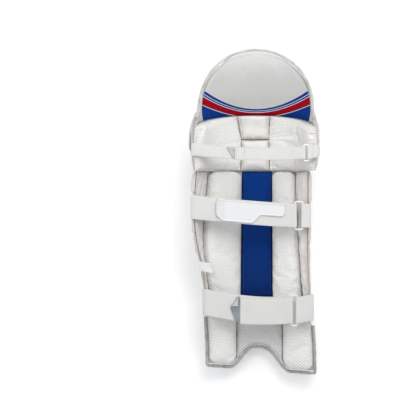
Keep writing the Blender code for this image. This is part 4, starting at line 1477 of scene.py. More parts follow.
@dataclass
class TopFlap:
    """The printed flap over the knee: its lining, its ribs, its side bolsters and its rolled edge."""

    lining_depth: float = 0.005
    rib_depth: float = 0.024
    bolster_depth: float = 0.010
    rib_share: float = 0.18
    side_share: float = 0.56
    rib_edge: float = 0.005
    bolster_edge: float = 0.0035
    bolster_reaches: Pair = (0.985, 0.950)
    binding_end: float = 0.2115
    split: float = 0.262
    bolster_top: float = 0.298
    line_depth: float = 0.0022
    line_width: float = 0.0022
    panels: dict[str, Panel] = field(default_factory=dict)

    def section(
        self, name: str, shares: Pair, low: Border, high: Border, side: Side, edge: float, full: float
    ) -> Panel:
        """Makes one panel of the flap.

        Args:
            name: The solid that it stands for.
            shares: Its left and right borders, as shares of the flap's half width.
            low: Its lower line at each share.
            high: Its upper line at each share.
            side: Which side of the flap it is on.
            edge: Its depth at the seams.
            full: Its depth in the middle.

        Returns:
            The panel.
        """
        start, stop = (math.asin(share) for share in shares)

        def spot(p: float, q: float) -> Pair:
            share = math.sin(mix(start, stop, p))
            return flap_around(share), mix(low(share), high(share), q)

        seat = LEG_SEAT if side is Side.LEG else FRONT_SEAT
        material, slot = (PRINTED, "flap_print") if side is Side.LEG else (LEATHER, "white_leather")
        panel = Panel(name, UPPER, spot, side, seat, edge, lambda around, y: full, material, slot)
        panel.crowd = (0.0, 0.3)
        panel.pucker = 0.0004
        panel.slack = 0.0006
        if name == "flap_lining":
            panel.full = lambda around, y: full - self.line_depth * self.inner_line(around, y)
            panel.spacing = 0.0040
            panel.cap = 0.0012
        if name.startswith("flap_bolster"):
            panel.pucker = 0.0
            panel.cap = 0.0006
        panel.build()
        self.panels[name] = panel
        return panel

    def inner_line(self, around: float, y: float) -> float:
        """How near the lining's inner sewn line is, which runs round it inside the rolled edge.

        Args:
            around: The place around the shell.
            y: The place along the pad.

        Returns:
            1 on the line and 0 away from it.
        """
        x = UPPER.point(around, y).x - FLAP_CENTRE
        reach = math.hypot(x / FLAP_REACH[0], (y - FLAP_SHOULDER) / FLAP_REACH[1])
        return math.exp(-(((reach - 1.0) * FLAP_REACH[0] / self.line_width) ** 2))

    def binding(self) -> None:
        """Makes the rolled binding round the free edge, from knee to knee."""
        beyond = BINDING_RADIUS + BINDING_GAP
        route = [UPPER.edge(-1.0, self.binding_end, beyond)]
        steps = 48
        for step in range(steps + 1):
            share = math.sin(mix(-0.5, 0.5, step / steps) * math.pi)
            y = flap_line(share, beyond)
            turned = flap_around(share) * UPPER.cut(y).turn
            outward = Vector((math.cos(turned), 0.0, math.sin(turned)))
            route.append(UPPER.point(flap_around(share), y) + share * beyond * outward)
        route.append(UPPER.edge(1.0, self.binding_end, beyond))
        RolledCord(
            "flap_binding_roll",
            route,
            BINDING_RADIUS,
            WHITE_BINDING,
            "white_leather",
            ruffle=0.10,
            nodes=("flap_binding",),
        ).build()

    def build(self) -> None:
        """Makes the flap."""
        lining = self.section(
            "flap_lining",
            (-1.0, 1.0),
            lambda share: knee_top(flap_around(share)) + SEAM_GAP,
            flap_line,
            Side.LEG,
            0.5 * self.lining_depth,
            self.lining_depth,
        )
        lining.fill = 0.4
        base = ROLL_TOP + 2.0 * SEAM_GAP
        borders = (-self.side_share, -self.rib_share, self.rib_share, self.side_share)
        gap = 0.5 * SEAM_GAP / FLAP_HALF_WIDTH
        for name, left, right in zip(("left", "centre", "right"), borders, borders[1:]):
            self.section(
                f"flap_rib_{name}",
                (left + gap, right - gap),
                lambda share: base,
                lambda share: flap_line(share) - SEAM_GAP,
                Side.FRONT,
                self.rib_edge,
                self.rib_depth,
            )
        for side, name in ((-1, "left"), (1, "right")):
            near_rib = self.side_share + gap
            for level, low, high, reach in (
                ("lower", base, self.split, self.bolster_reaches[0]),
                ("upper", self.split + SEAM_GAP, self.bolster_top, self.bolster_reaches[1]),
            ):
                self.section(
                    f"flap_bolster_{name}_{level}",
                    (near_rib, reach) if side > 0 else (-reach, -near_rib),
                    lambda share, low=low: low,
                    lambda share, high=high: min(high, flap_line(share) - SEAM_GAP),
                    Side.FRONT,
                    self.bolster_edge,
                    self.bolster_depth,
                )
        self.binding()

    def sew(self) -> None:
        """Sews round the lining, just inside the rolled edge."""
        run = Stitches("flap_stitching", "white_leather")
        lining = self.panels["flap_lining"]
        run.on_panel(lining, lambda t: (mix(0.06, 0.94, t), 0.955), 260)
        run.build()


# Leg side padding


@dataclass
class KneePadding:
    """Two mesh bolsters that wrap to the edges, and two smooth pads between them."""

    depth: float = 0.024
    edge: float = 0.012
    seam: float = 0.162
    left_borders: Pair = (-0.235, -0.310)
    right_borders: Pair = (0.280, 0.287)
    outer_edge: float = 0.0030
    frills: Pair = (0.0012, 0.0030)
    spacings: Pair = (0.0038, 0.0027)
    panels: dict[str, Panel] = field(default_factory=dict)

    def border(self, shares: Pair, y: float) -> float:
        """A side border of the smooth pads, from its half widths at the seam and at the top edge."""
        share = mix(shares[0], shares[1], ramp(y, self.seam, KNEE_TOP))
        return UPPER.around(share * HALF_WIDTH, y)

    def pad(self, name: str, left: Border, right: Border, low: float, high: Border, is_mesh: bool) -> None:
        """Makes one pad.

        Args:
            name: The solid that it stands for.
            left: Its left border at each place along the pad.
            right: Its right border.
            low: Its lower edge.
            high: Its upper edge at each place around.
            is_mesh: Whether it is covered in mesh.
        """

        def spot(p: float, q: float) -> Pair:
            guess = mix(low, KNEE_TOP, q)
            y = mix(low, high(mix(left(guess), right(guess), p)), q)
            return mix(left(y), right(y), p), y

        material, slot = (MESH, "white_mesh") if is_mesh else (WARM_LEATHER, "white_leather")
        panel = Panel(
            name, UPPER, spot, Side.LEG, LEG_SEAT, self.edge, lambda around, y: self.depth, material, slot
        )
        panel.pucker = 0.0011 if is_mesh else 0.0007
        panel.slack = 0.0011
        panel.crowns = (3.0, 4.5)
        panel.fill = 0.7
        if is_mesh:
            panel.outer_edge = self.outer_edge
            is_right = name == "knee_bolster_right"
            panel.frill, panel.spacing = self.frills[is_right], self.spacings[is_right]
        if name == "knee_pad_lower":
            panel.channels = (Channel(True, 0.085, 0.0022, 0.28),)
        panel.build()
        self.panels[name] = panel

    def build(self) -> None:
        """Makes the four pads."""
        bottom = KNEE_BREAK + 0.5 * SEAM_GAP
        step = 0.5 * SEAM_GAP / HALF_WIDTH

        def left(y: float) -> float:
            return self.border(self.left_borders, y)

        def right(y: float) -> float:
            return self.border(self.right_borders, y)

        self.pad("knee_bolster_left", lambda y: -1.0, lambda y: left(y) - step, bottom, knee_top, True)
        self.pad("knee_bolster_right", lambda y: right(y) + step, lambda y: 1.0, bottom, knee_top, True)
        for name, low, high in (
            ("knee_pad_upper", self.seam + 0.5 * SEAM_GAP, knee_top),
            ("knee_pad_lower", bottom, lambda around: self.seam - 0.5 * SEAM_GAP),
        ):
            self.pad(name, lambda y: left(y) + step, lambda y: right(y) - step, low, high, False)

    def sew(self) -> None:
        """Sews the smooth pads down both sides."""
        run = Stitches("knee_pad_stitching", "white_leather")
        for name in ("knee_pad_upper", "knee_pad_lower"):
            for across in (0.07, 0.93):
                run.on_panel(self.panels[name], lambda t, across=across: (across, mix(0.06, 0.94, t)), 60)
        run.on_panel(self.panels["knee_pad_upper"], lambda t: (mix(0.07, 0.93, t), 0.07), 60)
        run.build()


@dataclass(frozen=True)
class LongPad:
    """A long leg side piece: its borders at knee, ankle and toe in half widths, and its depths."""

    name: str
    left: tuple[float, float, float]
    right: tuple[float, float, float]
    depth: float
    edge: float
    is_mesh: bool
    toe: bool


@dataclass
class LegPadding:
    """The padding along the shin and foot: bolsters, linings, the strip and the foot panel."""

    ankle: float = -0.215
    foot: float = -0.250
    strip_end: float = -0.192
    out: float = 2.0
    corner: float = 0.011
    outer_tuck: float = 0.035
    outer_swell: float = 0.065
    toe_spread: float = 0.224
    middle_edge: float = 0.004
    middle_depth: float = 0.012
    binding_tops: Pair = (-0.238, -0.2578)
    panels: dict[str, Panel] = field(default_factory=dict)

    def pads(self) -> tuple[LongPad, ...]:
        """The four long pieces, from left to right."""
        out = self.out
        return (
            LongPad(
                "wing_lining_left",
                (-out, -out, -out),
                (-0.8246, -0.7836, -0.7761),
                0.005,
                0.003,
                False,
                False,
            ),
            LongPad(
                "shin_bolster_left",
                (-0.8209, -0.7799, -out),
                (-0.2090, -0.2313, -0.2950),
                0.027,
                0.009,
                True,
                True,
            ),
            LongPad(
                "shin_bolster_right",
                (0.3172, 0.3246, 0.4920),
                (0.7239, 0.8358, out),
                0.027,
                0.009,
                True,
                True,
            ),
            LongPad(
                "wing_lining_right", (0.7299, 0.8418, 0.8955), (out, out, out), 0.014, 0.004, False, False
            ),
        )

    def border(self, places: tuple[float, float, float], y: float) -> float:
        """Finds a border around the shell.

        Args:
            places: The border at the knee, the ankle and the toe, in half widths.
            y: The place along the pad.

        Returns:
            The place around: straight from knee to ankle, and past the foot place again.
        """
        knee, ankle, toe = places
        if abs(knee) == self.out:
            return math.copysign(1.0, knee)
        if abs(toe) == self.out:
            toe = ankle + math.copysign(self.toe_spread, toe)
        if y > self.ankle:
            share = mix(ankle, knee, ramp(y, self.ankle, KNEE_BREAK))
            if knee < -0.5:
                swell = math.sin(math.pi * ramp(y, self.ankle, KNEE_BREAK)) ** 1.5
                share += mix(self.outer_tuck, -self.outer_swell, swell)
        else:
            share = mix(ankle, toe, eased(-y, -self.ankle, -self.foot))
            if knee < -0.5:
                share += mix(self.outer_tuck, 0.0, ramp(-y, -self.ankle, -TOE_LINE))
        return SHIN.around(share * HALF_WIDTH, y)

    def long_pad(self, pad: LongPad) -> None:
        """Makes one of the four long pieces."""
        gap = 0.5 * SEAM_GAP / HALF_WIDTH
        top = KNEE_BREAK - 0.5 * SEAM_GAP

        def around(p: float, y: float) -> float:
            return mix(self.border(pad.left, y) + gap, self.border(pad.right, y) - gap, p)

        def spot(p: float, q: float) -> Pair:
            corner = self.corner * abs(2.0 * p - 1.0) ** 5 if pad.toe else 0.0
            bottom = toe_end(lambda y: SHIN.point(around(p, y), y).x) if pad.toe else self.ankle
            y = mix(bottom + corner, top - corner, q)
            return around(p, y), y

        material, slot = (MESH, "white_mesh") if pad.is_mesh else (LINING, "white_leather")
        panel = Panel(
            pad.name, SHIN, spot, Side.LEG, LEG_SEAT, pad.edge, lambda around, y: pad.depth, material, slot
        )
        panel.slack = 0.0022 if pad.is_mesh else 0.0012
        panel.crowns = (2.6, 12.0)
        panel.fill = 0.75 if pad.is_mesh else 0.3
        panel.folds = 0.0 if pad.is_mesh else 0.0014
        panel.build()
        self.panels[pad.name] = panel

    def middle(self, name: str, low: float | None, high: float, is_blue: bool) -> None:
        """Makes a flat piece between the two long bolsters.

        Args:
            name: The solid that it stands for.
            low: Its lower end, or None for the toe.
            high: Its upper end.
            is_blue: Whether it is the blue strip.
        """
        gap = SEAM_GAP / HALF_WIDTH
        pads = self.pads()

        def around(p: float, y: float) -> float:
            return mix(self.border(pads[1].right, y) + gap, self.border(pads[2].left, y) - gap, p)

        def spot(p: float, q: float) -> Pair:
            bottom = toe_end(lambda y: SHIN.point(around(p, y), y).x) if low is None else low
            y = mix(bottom, high, q)
            return around(p, y), y

        material, slot = (BLUE_MESH, "blue_mesh") if is_blue else (PAINTED_SHADE_FOOT_MESH, "white_mesh")
        panel = Panel(
            name,
            SHIN,
            spot,
            Side.LEG,
            LEG_SEAT,
            self.middle_edge,
            lambda around, y: self.middle_depth,
            material,
            slot,
        )
        panel.slack = 0.0008
        panel.fill = 0.4
        panel.build()
        self.panels[name] = panel

    def foot_binding(self) -> None:
        """Makes the binding round the toe and up both sides of the foot."""
        beyond = BINDING_RADIUS + BINDING_GAP
        sides: dict[int, list[Vector]] = {}
        for side, top in zip((-1, 1), self.binding_tops):
            corner_y = toe_line(SHIN.edge(side, TOE_LINE).x)
            places = [mix(top, corner_y, step / 8) for step in range(9)]
            sides[side] = [SHIN.edge(side, y, beyond) for y in places]
            corner = SHIN.edge(side, corner_y, 0.75 * beyond)
            corner.y -= 0.75 * beyond
            sides[side].append(corner)
        route = sides[-1]
        steps = 44
        for step in range(1, steps):
            around = mix(-1.0, 1.0, step / steps)
            x = SHIN.point(around, TOE_LINE).x
            place = SHIN.point(around, toe_line(x))
            slope = (toe_line(x + beyond) - toe_line(x - beyond)) / (2.0 * beyond)
            route.append(place + beyond * Vector((slope, -1.0, 0.0)).normalized())
        route += reversed(sides[1])
        RolledCord(
            "foot_binding_roll",
            route,
            BINDING_RADIUS,
            BINDING,
            "binding_grey",
            ruffle=0.40,
            nodes=("foot_binding",),
        ).build()

    def label(self) -> None:
        """Makes the blank folded label at the edge of the outer wing."""
        mesh, _, far = folded_sheet(16, 12)
        for point in mesh.verts:
            p, q = point.co.x + 0.5, point.co.y + 0.5
            y = mix(-0.133, -0.111, q) - 0.0060 * p
            place = SHIN.edge(-1, mix(-0.134, -0.111, q), 0.0008)
            curl = 0.0012 * math.sin(3.0 * q + 4.0 * p)
            lift = 0.0165 * eased(p, 0.0, 0.45) + curl * p + (0.0008 if point in far else 0.0)
            point.co = Vector((place.x - 0.006 + 0.0290 * p, y, place.z + 0.002 + lift))
        settle("size_label_tab", mesh, SATIN, "webbing", ("size_label",))

    def build(self) -> None:
        """Makes everything on the leg side below the knee."""
        for pad in self.pads():
            self.long_pad(pad)
        self.middle("centre_strip", self.strip_end, KNEE_BREAK - 0.5 * SEAM_GAP, True)
        self.middle("foot_panel", None, self.strip_end - SEAM_GAP, False)
        self.foot_binding()
        self.label()

    def sew(self) -> None:
        """Sews the blue strip down both sides."""
        run = Stitches("strip_stitching", "blue_mesh", BLUE_THREAD)
        for across in (0.06, 0.94):
            run.on_panel(self.panels["centre_strip"], lambda t, across=across: (across, mix(0.02, 0.98, t)))
        run.build()


# Straps


class StrapEnd(Enum):
    """What lies at a strap's free end."""

    HOOK_TAB = "hook tab"
    MOULDED = "moulded end"


@dataclass
class Fastening:
    """One strap: a band folded round a ring and back on itself, and the tether that holds the ring."""

    name: str
    shell: PadShell
    width: float
    left_y: float
    right_y: float
    droop: float
    tether_rise: float
    crest: float
    sag: float
    bulge: float
    ring_x: float
    ring_width: float
    ring_z: float
    end_x: float
    end: StrapEnd
    slip: float = 0.0
    tab: tuple[tuple[float, float, float], ...] = ()
    wire: float = 0.0019
    clearance: float = 0.0004
    depth: float = 0.0020
    layer_gap: float = 0.0004
    stand: float = 0.0011
    settle: float = 0.016
    tab_gap: float = 0.0006

    @property
    def turn(self) -> float:
        """The radius of the band's middle where it turns round a bar."""
        return self.wire + self.clearance + 0.5 * self.depth

    def bar_x(self, side: float) -> float:
        """The middle of the ring's left (-1) or right (1) bar."""
        return self.ring_x + side * (0.5 * self.ring_width - self.wire)

    def rise_at_edge(self, edge: Vector, outer_x: float, foot_z: float) -> list[Vector]:
        """The band's middle in x and z where it bows out on its way up from the pad's edge."""
        if foot_z - edge.z <= 0.006:
            return []
        bows = [(share, math.sin(0.5 * math.pi * share)) for share in (0.25, 0.5, 0.75)]
        return [Vector((mix(edge.x, outer_x, bow), mix(edge.z, foot_z, share))) for share, bow in bows]

    def bend(self, outer_x: float, foot_z: float, top_z: float, inward: float) -> list[Vector]:
        """The band's middle in x and z where it bends from the rise into the run across the pad."""
        angles = [0.5 * math.pi * step / 8 for step in range(9)]
        return [
            Vector((outer_x + inward * (1 - math.cos(angle)), foot_z + (top_z - foot_z) * math.sin(angle)))
            for angle in angles
        ]

    def on_bar(self, bar_x: float, half_turns: float) -> Vector:
        """The band's middle in x and z round a bar of the ring."""
        angle = math.pi * half_turns
        return Vector((bar_x, self.ring_z)) + self.turn * Vector((math.cos(angle), math.sin(angle)))

    def lower_run(self) -> list[Vector]:
        """The lower layer's middle in x and z, from the left edge to the ring's left bar."""
        corner = 0.012
        edge = self.shell.edge(-1, self.left_y)
        outer_x = edge.x - self.bulge
        foot_z = max(self.crest - corner, edge.z + self.stand)
        route = [Vector((edge.x - 0.001, edge.z))]
        route += self.rise_at_edge(edge, outer_x, foot_z)
        route += self.bend(outer_x, foot_z, self.crest, corner)
        start = route[-1]
        bar_x, low_z = self.bar_x(-1), self.ring_z - self.turn
        for step in range(1, 41):
            share = step / 40
            drop = self.sag * 4 * share * (1 - share)
            route.append(Vector((mix(start.x, bar_x, share), mix(start.y, low_z, share) - drop)))
        return route

    def lower_z(self, x: float) -> float:
        """The height of the lower layer's middle at x, along its top run."""
        run = self.lower_run()[-41:]
        for a, b in zip(run, run[1:]):
            if x <= b.x:
                return mix(a.y, b.y, (x - a.x) / (b.x - a.x))
        return run[-1].y

    def middle_y(self, x: float) -> float:
        """The fastening's middle along the pad at x, from its left edge past the ring to the right edge."""
        share = ramp(x, self.shell.edge(-1, self.left_y).x, self.bar_x(-1))
        hang = self.droop * 4 * share * (1 - share)
        rise = self.tether_rise * ramp(x, self.bar_x(1), self.shell.edge(1, self.right_y).x)
        return mix(self.left_y, self.right_y, share) - hang + rise

    def slipped(self, x: float) -> float:
        """How far the upper layer has slipped towards the foot at x."""
        return self.slip * ramp(self.bar_x(-1) - x, 0.0, self.bar_x(-1) - self.end_x)

    def band(
        self, name: str, route: list[Vector], side: float, material: Material, upper_from: int = 10_000
    ) -> None:
        """Makes a woven band.

        Args:
            name: The solid that it stands for.
            route: Its middle in x and z, whose first end follows the shell's edge.
            side: -1 if it starts at the left edge, 1 if at the right.
            material: Its finish.
            upper_from: Where on the route its upper layer starts.
        """
        rows = 10
        lengths = [0.0]
        for a, b in zip(route, route[1:]):
            lengths.append(lengths[-1] + (b - a).length)
        mesh, _, far = folded_sheet(len(route) - 1, rows, is_cloth=True)
        upper_face = set(far)
        flat: dict[Vert, Pair] = {}
        for point in mesh.verts:
            index = round((point.co.x + 0.5) * (len(route) - 1))
            q = 0.5 - 0.5 * math.cos(math.pi * (point.co.y + 0.5))
            before, after = route[max(index - 1, 0)], route[min(index + 1, len(route) - 1)]
            tangent = Vector((after.x - before.x, 0.0, after.y - before.y)).normalized()
            x, z = route[index]
            middle = self.middle_y(x)
            if index >= upper_from:
                middle -= self.slipped(x)
                z -= 0.0007 * math.exp(-(((x - self.end_x - 0.018) / 0.0028) ** 2))
            y = middle + (q - 0.5) * self.width
            if index == 0:
                edge = self.shell.edge(side, y, self.stand)
                x, z = edge.x, edge.z
                tangent = Vector((0.0, 0.0, 1.0))
            flat[point] = (lengths[index], (q - 0.5) * self.width)
            thin = mix(0.55, 1.0, crown(q, 6.0))
            offset = (0.5 if point in upper_face else -0.5) * self.depth * thin
            ripple = 0.0011 * noise.noise(Vector((24.0 * x, 30.0 * y, 7.0 + z))) * eased(index, 2, 12)
            point.co = Vector((x, y, z)) + (offset + ripple) * Vector((-tangent.z, 0.0, tangent.x))
        lay_flat(mesh, flat)
        piece = settle(f"{name}_band", mesh, material, "webbing", (name,))
        rounded(piece)

    def long_band(self, material: Material) -> None:
        """Makes the long band: up from the left edge, across, round the bar and back on itself."""
        route = self.lower_run()
        bar_x = self.bar_x(-1)
        route += [self.on_bar(bar_x, step / 12 - 0.5) for step in range(1, 13)]
        lift = self.depth + self.layer_gap
        upper_from = len(route)
        for step in range(37):
            x = mix(bar_x - self.settle, self.end_x, step / 36)
            route.append(Vector((x, self.lower_z(x) + lift)))
        self.band(f"{self.name}_strap", route, -1.0, material, upper_from)

    def tether(self, material: Material) -> None:
        """Makes the short band from the right edge to the ring, folded round its right bar."""
        bar_x, corner = self.bar_x(1), 0.009
        edge = self.shell.edge(1, self.right_y)
        top_z = self.ring_z + self.turn
        outer_x = edge.x + 0.8 * self.bulge
        foot_z = max(top_z - corner, edge.z + self.stand)
        route = [Vector((edge.x, edge.z))]
        route += self.rise_at_edge(edge, outer_x, foot_z)
        route += self.bend(outer_x, foot_z, top_z, -corner)
        start = route[-1]
        for step in range(1, 6):
            route.append(start.lerp(Vector((bar_x, top_z)), step / 6))
        route += [self.on_bar(bar_x, 0.5 + step / 12) for step in range(13)]
        route.append(Vector((bar_x + 0.003, self.ring_z - self.turn)))
        route.append(Vector((bar_x + 0.006, self.ring_z - self.turn)))
        self.band(f"{self.name}_tether", route, 1.0, material)

    def ring(self) -> None:
        """Makes the rectangular ring of round wire, with one long bar for each band."""
        half_x = 0.5 * self.ring_width - self.wire
        half_y = 0.5 * self.width + 2.0 * self.wire + self.clearance
        corner = 0.0045
        route = []
        for number, (sx, sy) in enumerate(((1, 1), (-1, 1), (-1, -1), (1, -1))):
            for step in range(6):
                angle = 0.5 * math.pi * (number + step / 5)
                x = self.ring_x + sx * (half_x - corner) + corner * math.cos(angle)
                y = self.right_y + sy * (half_y - corner) + corner * math.sin(angle)
                route.append(Vector((x, y, self.ring_z)))
        RolledCord(
            f"{self.name}_ring_loop",
            route,
            self.wire,
            RING_PLASTIC,
            "ring_plastic",
            closed=True,
            sides=16,
            nodes=(f"{self.name}_ring",),
        ).build(0.002)

    def plate(
        self,
        name: str,
        node: str,
        span: Pair,
        layers: int,
        sides: tuple[Border, Border],
        height: Callable[[float, float], float],
        counts: tuple[int, int],
        material: Material,
        slot: str,
        base: float = 0.0,
    ) -> None:
        """Makes a flat piece that lies on the strap.

        Args:
            name: Its name.
            node: The solid that it stands for, if any.
            span: Its left and right ends.
            layers: How many layers of the band it lies on.
            sides: Its lower and upper lines at each x, from the band's middle.
            height: Its height at each share across and along.
            counts: Its columns and rows.
            material: Its finish.
            slot: The record's material slot.
            base: How high its underside stands over the strap.
        """
        mesh, _, far = folded_sheet(*counts)
        upper_face = set(far)
        seat = layers * (self.depth + self.layer_gap) - 0.5 * self.depth
        for point in mesh.verts:
            p, q = point.co.x + 0.5, point.co.y + 0.5
            x = mix(*span, p)
            y = self.middle_y(x) + mix(sides[0](x), sides[1](x), q)
            z = self.lower_z(x) + seat + (height(p, q) if point in upper_face else base)
            point.co = Vector((x, y, z))
        settle(name, mesh, material, slot, (node,) if node else ())

    def tab_line(self, x: float, column: int) -> float:
        """Reads the hook tab's lower (1) or upper (2) line at x from its table of corners."""
        back = self.end_x - self.tab_gap - x
        for (near, *lines), (far, *next_lines) in zip(self.tab, self.tab[1:]):
            if back <= far:
                return mix(lines[column - 1], next_lines[column - 1], ramp(back, near, far))
        return self.tab[-1][column]

    def hook_tab(self) -> None:
        """Makes the grey hook tape beside the free end, folded over towards the left."""
        right = self.end_x - self.tab_gap
        length = self.tab[-1][0]

        def height(p: float, q: float) -> float:
            curl = 0.0022 * (1.0 - eased(p, 0.0, 0.6)) * (0.6 + 0.4 * math.sin(3.0 * q))
            return 0.0012 + curl + 0.0003 * math.sin(9.0 * q)

        self.plate(
            f"{self.name}_hook_tape",
            f"{self.name}_hook_tab",
            (right - length, right),
            1,
            (lambda x: self.tab_line(x, 1), lambda x: self.tab_line(x, 2)),
            height,
            (20, 24),
            HOOK if self.name == "ankle" else PALE_HOOK,
            "hook_grey",
        )
        if self.name == "ankle":
            self.folded_corner(right)

    def folded_corner(self, right: float) -> None:
        """Makes the pale corner that is turned down over the upper half of the hook tape.

        Args:
            right: The tape's right end.
        """
        span = (right - 0.0200, right - 0.0040)

        def upper(x: float) -> float:
            return mix(0.0015, 0.0245, ramp(x, *span) ** 1.3)

        def lower(x: float) -> float:
            return mix(0.0010, 0.0035, ramp(x, *span))

        def height(p: float, q: float) -> float:
            return 0.0046 - 0.0014 * p + 0.0012 * math.sin(math.pi * q)

        self.plate(
            f"{self.name}_hook_fold",
            "",
            span,
            1,
            (lower, upper),
            height,
            (14, 12),
            PALE_HOOK,
            "hook_grey",
            base=0.0038,
        )

    def moulded_end(self) -> None:
        """Makes the moulded end: a block with a rim and grip ribs, then a tongue on its upper half."""
        corner, half = 0.009, 0.0245
        block_left = self.end_x - 0.0025
        block_right = block_left + 0.0780
        tongue_left, tongue_right = block_left + 0.1040, block_left + 0.1560
        creases = (block_left + 0.0205, block_left + 0.0765)

        def upper_side(x: float) -> float:
            return half - corner * (1.0 - ramp(x, block_left, block_left + corner)) ** 2

        def lower_side(x: float) -> float:
            rise = eased(x, block_right, tongue_left)
            chamfer = corner * 1.5 * (1.0 - ramp(x, block_left, block_left + 1.7 * corner)) ** 1.3
            end = 1.2 * corner * ramp(x, tongue_right - corner, tongue_right) ** 2
            return mix(-half, -0.0045, rise) + chamfer + end

        def height(p: float, q: float) -> float:
            x = mix(block_left, tongue_right, p)
            tall = upper_side(x) - lower_side(x)
            inset = min(q * tall, (1.0 - q) * tall, x - block_left, tongue_right - x)
            rim = eased(inset, 0.0, 0.0013) * mix(1.0, 0.62, eased(inset, 0.0024, 0.0036))
            slant = (x - block_left) + 0.35 * (q - 0.5) * tall
            grips = 0.0
            if inset > 0.003 and x < creases[0] - 0.002:
                grips = 0.0012 * max(0.0, math.sin(2.0 * math.pi * slant / 0.0036))
            for crease in creases:
                rim -= 0.30 * math.exp(-(((x - crease) / 0.0009) ** 2)) * eased(inset, 0.0030, 0.0040)
            return 0.0006 + 0.0030 * rim + grips

        self.plate(
            f"{self.name}_strap_moulding",
            f"{self.name}_strap_end",
            (block_left, tongue_right),
            2,
            (lower_side, upper_side),
            height,
            (200, 60),
            RUBBER,
            "white_rubber",
        )

    def build(self) -> None:
        """Makes the whole fastening."""
        webbing = BrushedWebbing(f"{self.name}_strap_webbing", 0.5 * self.width).material()
        self.long_band(webbing)
        self.tether(webbing)
        self.ring()
        if self.end is StrapEnd.HOOK_TAB:
            self.hook_tab()
        else:
            self.moulded_end()

    def sew(self, run: Stitches) -> None:
        """Sews the band's free end, its fold at the ring and the tether's fold.

        Args:
            run: The stitches of all the straps.
        """
        reach = 0.5 * self.width - 0.0035
        down = Vector((0.0, 0.0, -1.0))
        marks = [(f"{self.name}_strap_band", self.bar_x(-1) - 0.024)]
        if self.end is StrapEnd.HOOK_TAB:
            marks += [(f"{self.name}_strap_band", self.end_x + inward) for inward in (0.004, 0.022)]
        marks.append((f"{self.name}_tether_band", self.bar_x(1) + 0.009))
        for name, x in marks:
            tree = run.surface(bpy.data.objects[name])
            middle = self.middle_y(x)
            route = []
            for step in range(31):
                y = middle + mix(-reach, reach, step / 30)
                route.append((Vector((x, y, PAD_HEIGHT + 0.03)), down))
            run.follow(tree, route)


def fastenings() -> list[Fastening]:
    """The three fastenings, from the knee down."""
    return [
        Fastening(
            name="knee", shell=UPPER, width=0.028,
            left_y=0.1389, right_y=0.1315, droop=0.0050, tether_rise=0.0040,
            crest=0.1535, sag=0.002, bulge=0.0060,
            ring_x=0.1170, ring_width=0.0160, ring_z=0.1525, end_x=-0.0440,
            end=StrapEnd.HOOK_TAB,
            slip=0.0018,
            tab=((0.0, -0.0128, 0.0126), (0.0030, -0.0120, 0.0128), (0.0150, 0.0100, 0.0128)),
        ),
        Fastening(
            name="calf", shell=SHIN, width=0.054,
            left_y=0.0095, right_y=-0.0092, droop=0.0015, tether_rise=0.0,
            crest=0.1390, sag=0.006, bulge=0.0080,
            ring_x=0.1010, ring_width=0.0210, ring_z=0.1130, end_x=-0.0830,
            end=StrapEnd.MOULDED,
        ),
        Fastening(
            name="ankle", shell=SHIN, width=0.060,
            left_y=-0.2042, right_y=-0.2227, droop=0.0060, tether_rise=0.0060,
            crest=0.1040, sag=0.004, bulge=0.0070,
            ring_x=0.0910, ring_width=0.0180, ring_z=0.0900, end_x=-0.0310,
            end=StrapEnd.HOOK_TAB,
            slip=0.0060,
            tab=(
                (0.0, -0.0290, 0.0255),
                (0.0068, -0.0286, 0.0250),
                (0.0118, -0.0280, 0.0140),
                (0.0207, -0.0020, 0.0010),
            ),
        ),
    ]


# Studio


@dataclass(frozen=True)
class Softbox:
    """One large soft light that the camera doesn't see."""

    name: str
    place: tuple[float, float, float]
    size: float
    power: float

    def build(self) -> None:
        """Hangs the light, facing the middle of the pad."""
        data = bpy.data.lights.new(self.name, "AREA")
        data.shape = "SQUARE"
        data.size = self.size
        data.energy = self.power
        lamp = bpy.data.objects.new(self.name, data)
        lamp.location = self.place
        aim = Vector((0.0, 0.0, 0.05)) - Vector(self.place)
        lamp.rotation_euler = aim.to_track_quat("-Z", "Y").to_euler()
        lamp.visible_camera = False
        bpy.context.collection.objects.link(lamp)


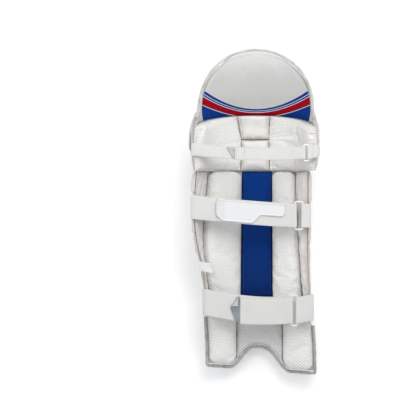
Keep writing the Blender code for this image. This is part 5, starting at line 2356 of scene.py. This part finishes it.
@dataclass(frozen=True)
class Studio:
    """The pale floor, the soft lights and the camera straight above the pad."""

    floor_half: float = 4.0
    floor_colour: Colour = (0.94, 0.94, 0.94)
    floor_glow: float = 0.12
    lens: float = 480.0
    frame_width: float = 0.936
    aim_height: float = 0.10
    camera_x: float = -0.1035
    camera_y: float = 0.0079
    boxes: tuple[Softbox, ...] = (
        Softbox("key_softbox", (0.40, 1.15, 1.50), 1.2, 21.0),
        Softbox("fill_softbox", (-1.5, 0.3, 1.9), 1.6, 8.0),
    )

    def floor(self) -> None:
        """Lays the plain floor."""
        mesh = bmesh.new()
        bmesh.ops.create_grid(mesh, x_segments=1, y_segments=1, size=self.floor_half)
        data = bpy.data.meshes.new("studio_floor")
        mesh.to_mesh(data)
        mesh.free()
        material = bpy.data.materials.new("pale_floor")
        material.use_nodes = True
        shader = material.node_tree.nodes["Principled BSDF"]
        shader.inputs["Base Color"].default_value = (*self.floor_colour, 1.0)
        shader.inputs["Roughness"].default_value = 0.9
        shader.inputs["Emission Color"].default_value = (1.0, 1.0, 1.0, 1.0)
        shader.inputs["Emission Strength"].default_value = self.floor_glow
        data.materials.append(material)
        floor = bpy.data.objects.new("studio_floor", data)
        bpy.context.collection.objects.link(floor)

    def camera(self) -> None:
        """Stands the camera over the pad, with a long lens."""
        data = bpy.data.cameras.new("camera")
        data.lens = self.lens
        data.sensor_width = 36.0
        data.clip_end = 50.0
        camera = bpy.data.objects.new("camera", data)
        distance = self.frame_width * self.lens / data.sensor_width
        camera.location = (self.camera_x, self.camera_y, self.aim_height + distance)
        bpy.context.collection.objects.link(camera)
        bpy.context.scene.camera = camera

    def build(self) -> None:
        """Sets up the studio."""
        self.floor()
        for box in self.boxes:
            box.build()
        world = bpy.data.worlds.new("studio_air")
        world.use_nodes = True
        sky = world.node_tree.nodes["Background"]
        sky.inputs["Color"].default_value = (0.97, 0.98, 1.0, 1.0)
        sky.inputs["Strength"].default_value = 0.72
        bpy.context.scene.world = world
        bpy.context.scene.view_settings.view_transform = "Standard"
        self.camera()


def main() -> None:
    """Builds the pad's pieces in order and reports each one."""
    logging.basicConfig(level=logging.INFO, format="%(message)s")
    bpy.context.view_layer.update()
    Studio().build()
    assemblies = {
        "shin front": ShinFront(),
        "knee roll": KneeRoll(),
        "top flap": TopFlap(),
        "knee padding": KneePadding(),
        "leg padding": LegPadding(),
    }
    for label, assembly in assemblies.items():
        assembly.build()
        LOG.info("built %s", label)
    STUFFING.run()
    LOG.info("stuffed %d panels", len(STUFFING.entries))
    straps = fastenings()
    for strap in straps:
        strap.build()
        LOG.info("built %s fastening", strap.name)
    for label, assembly in assemblies.items():
        assembly.sew()
        LOG.info("sewed %s", label)
    strap_run = Stitches("strap_stitching", "webbing", WHITE_THREAD)
    for strap in straps:
        strap.sew(strap_run)
    strap_run.build()


if __name__ == "__main__":
    main()
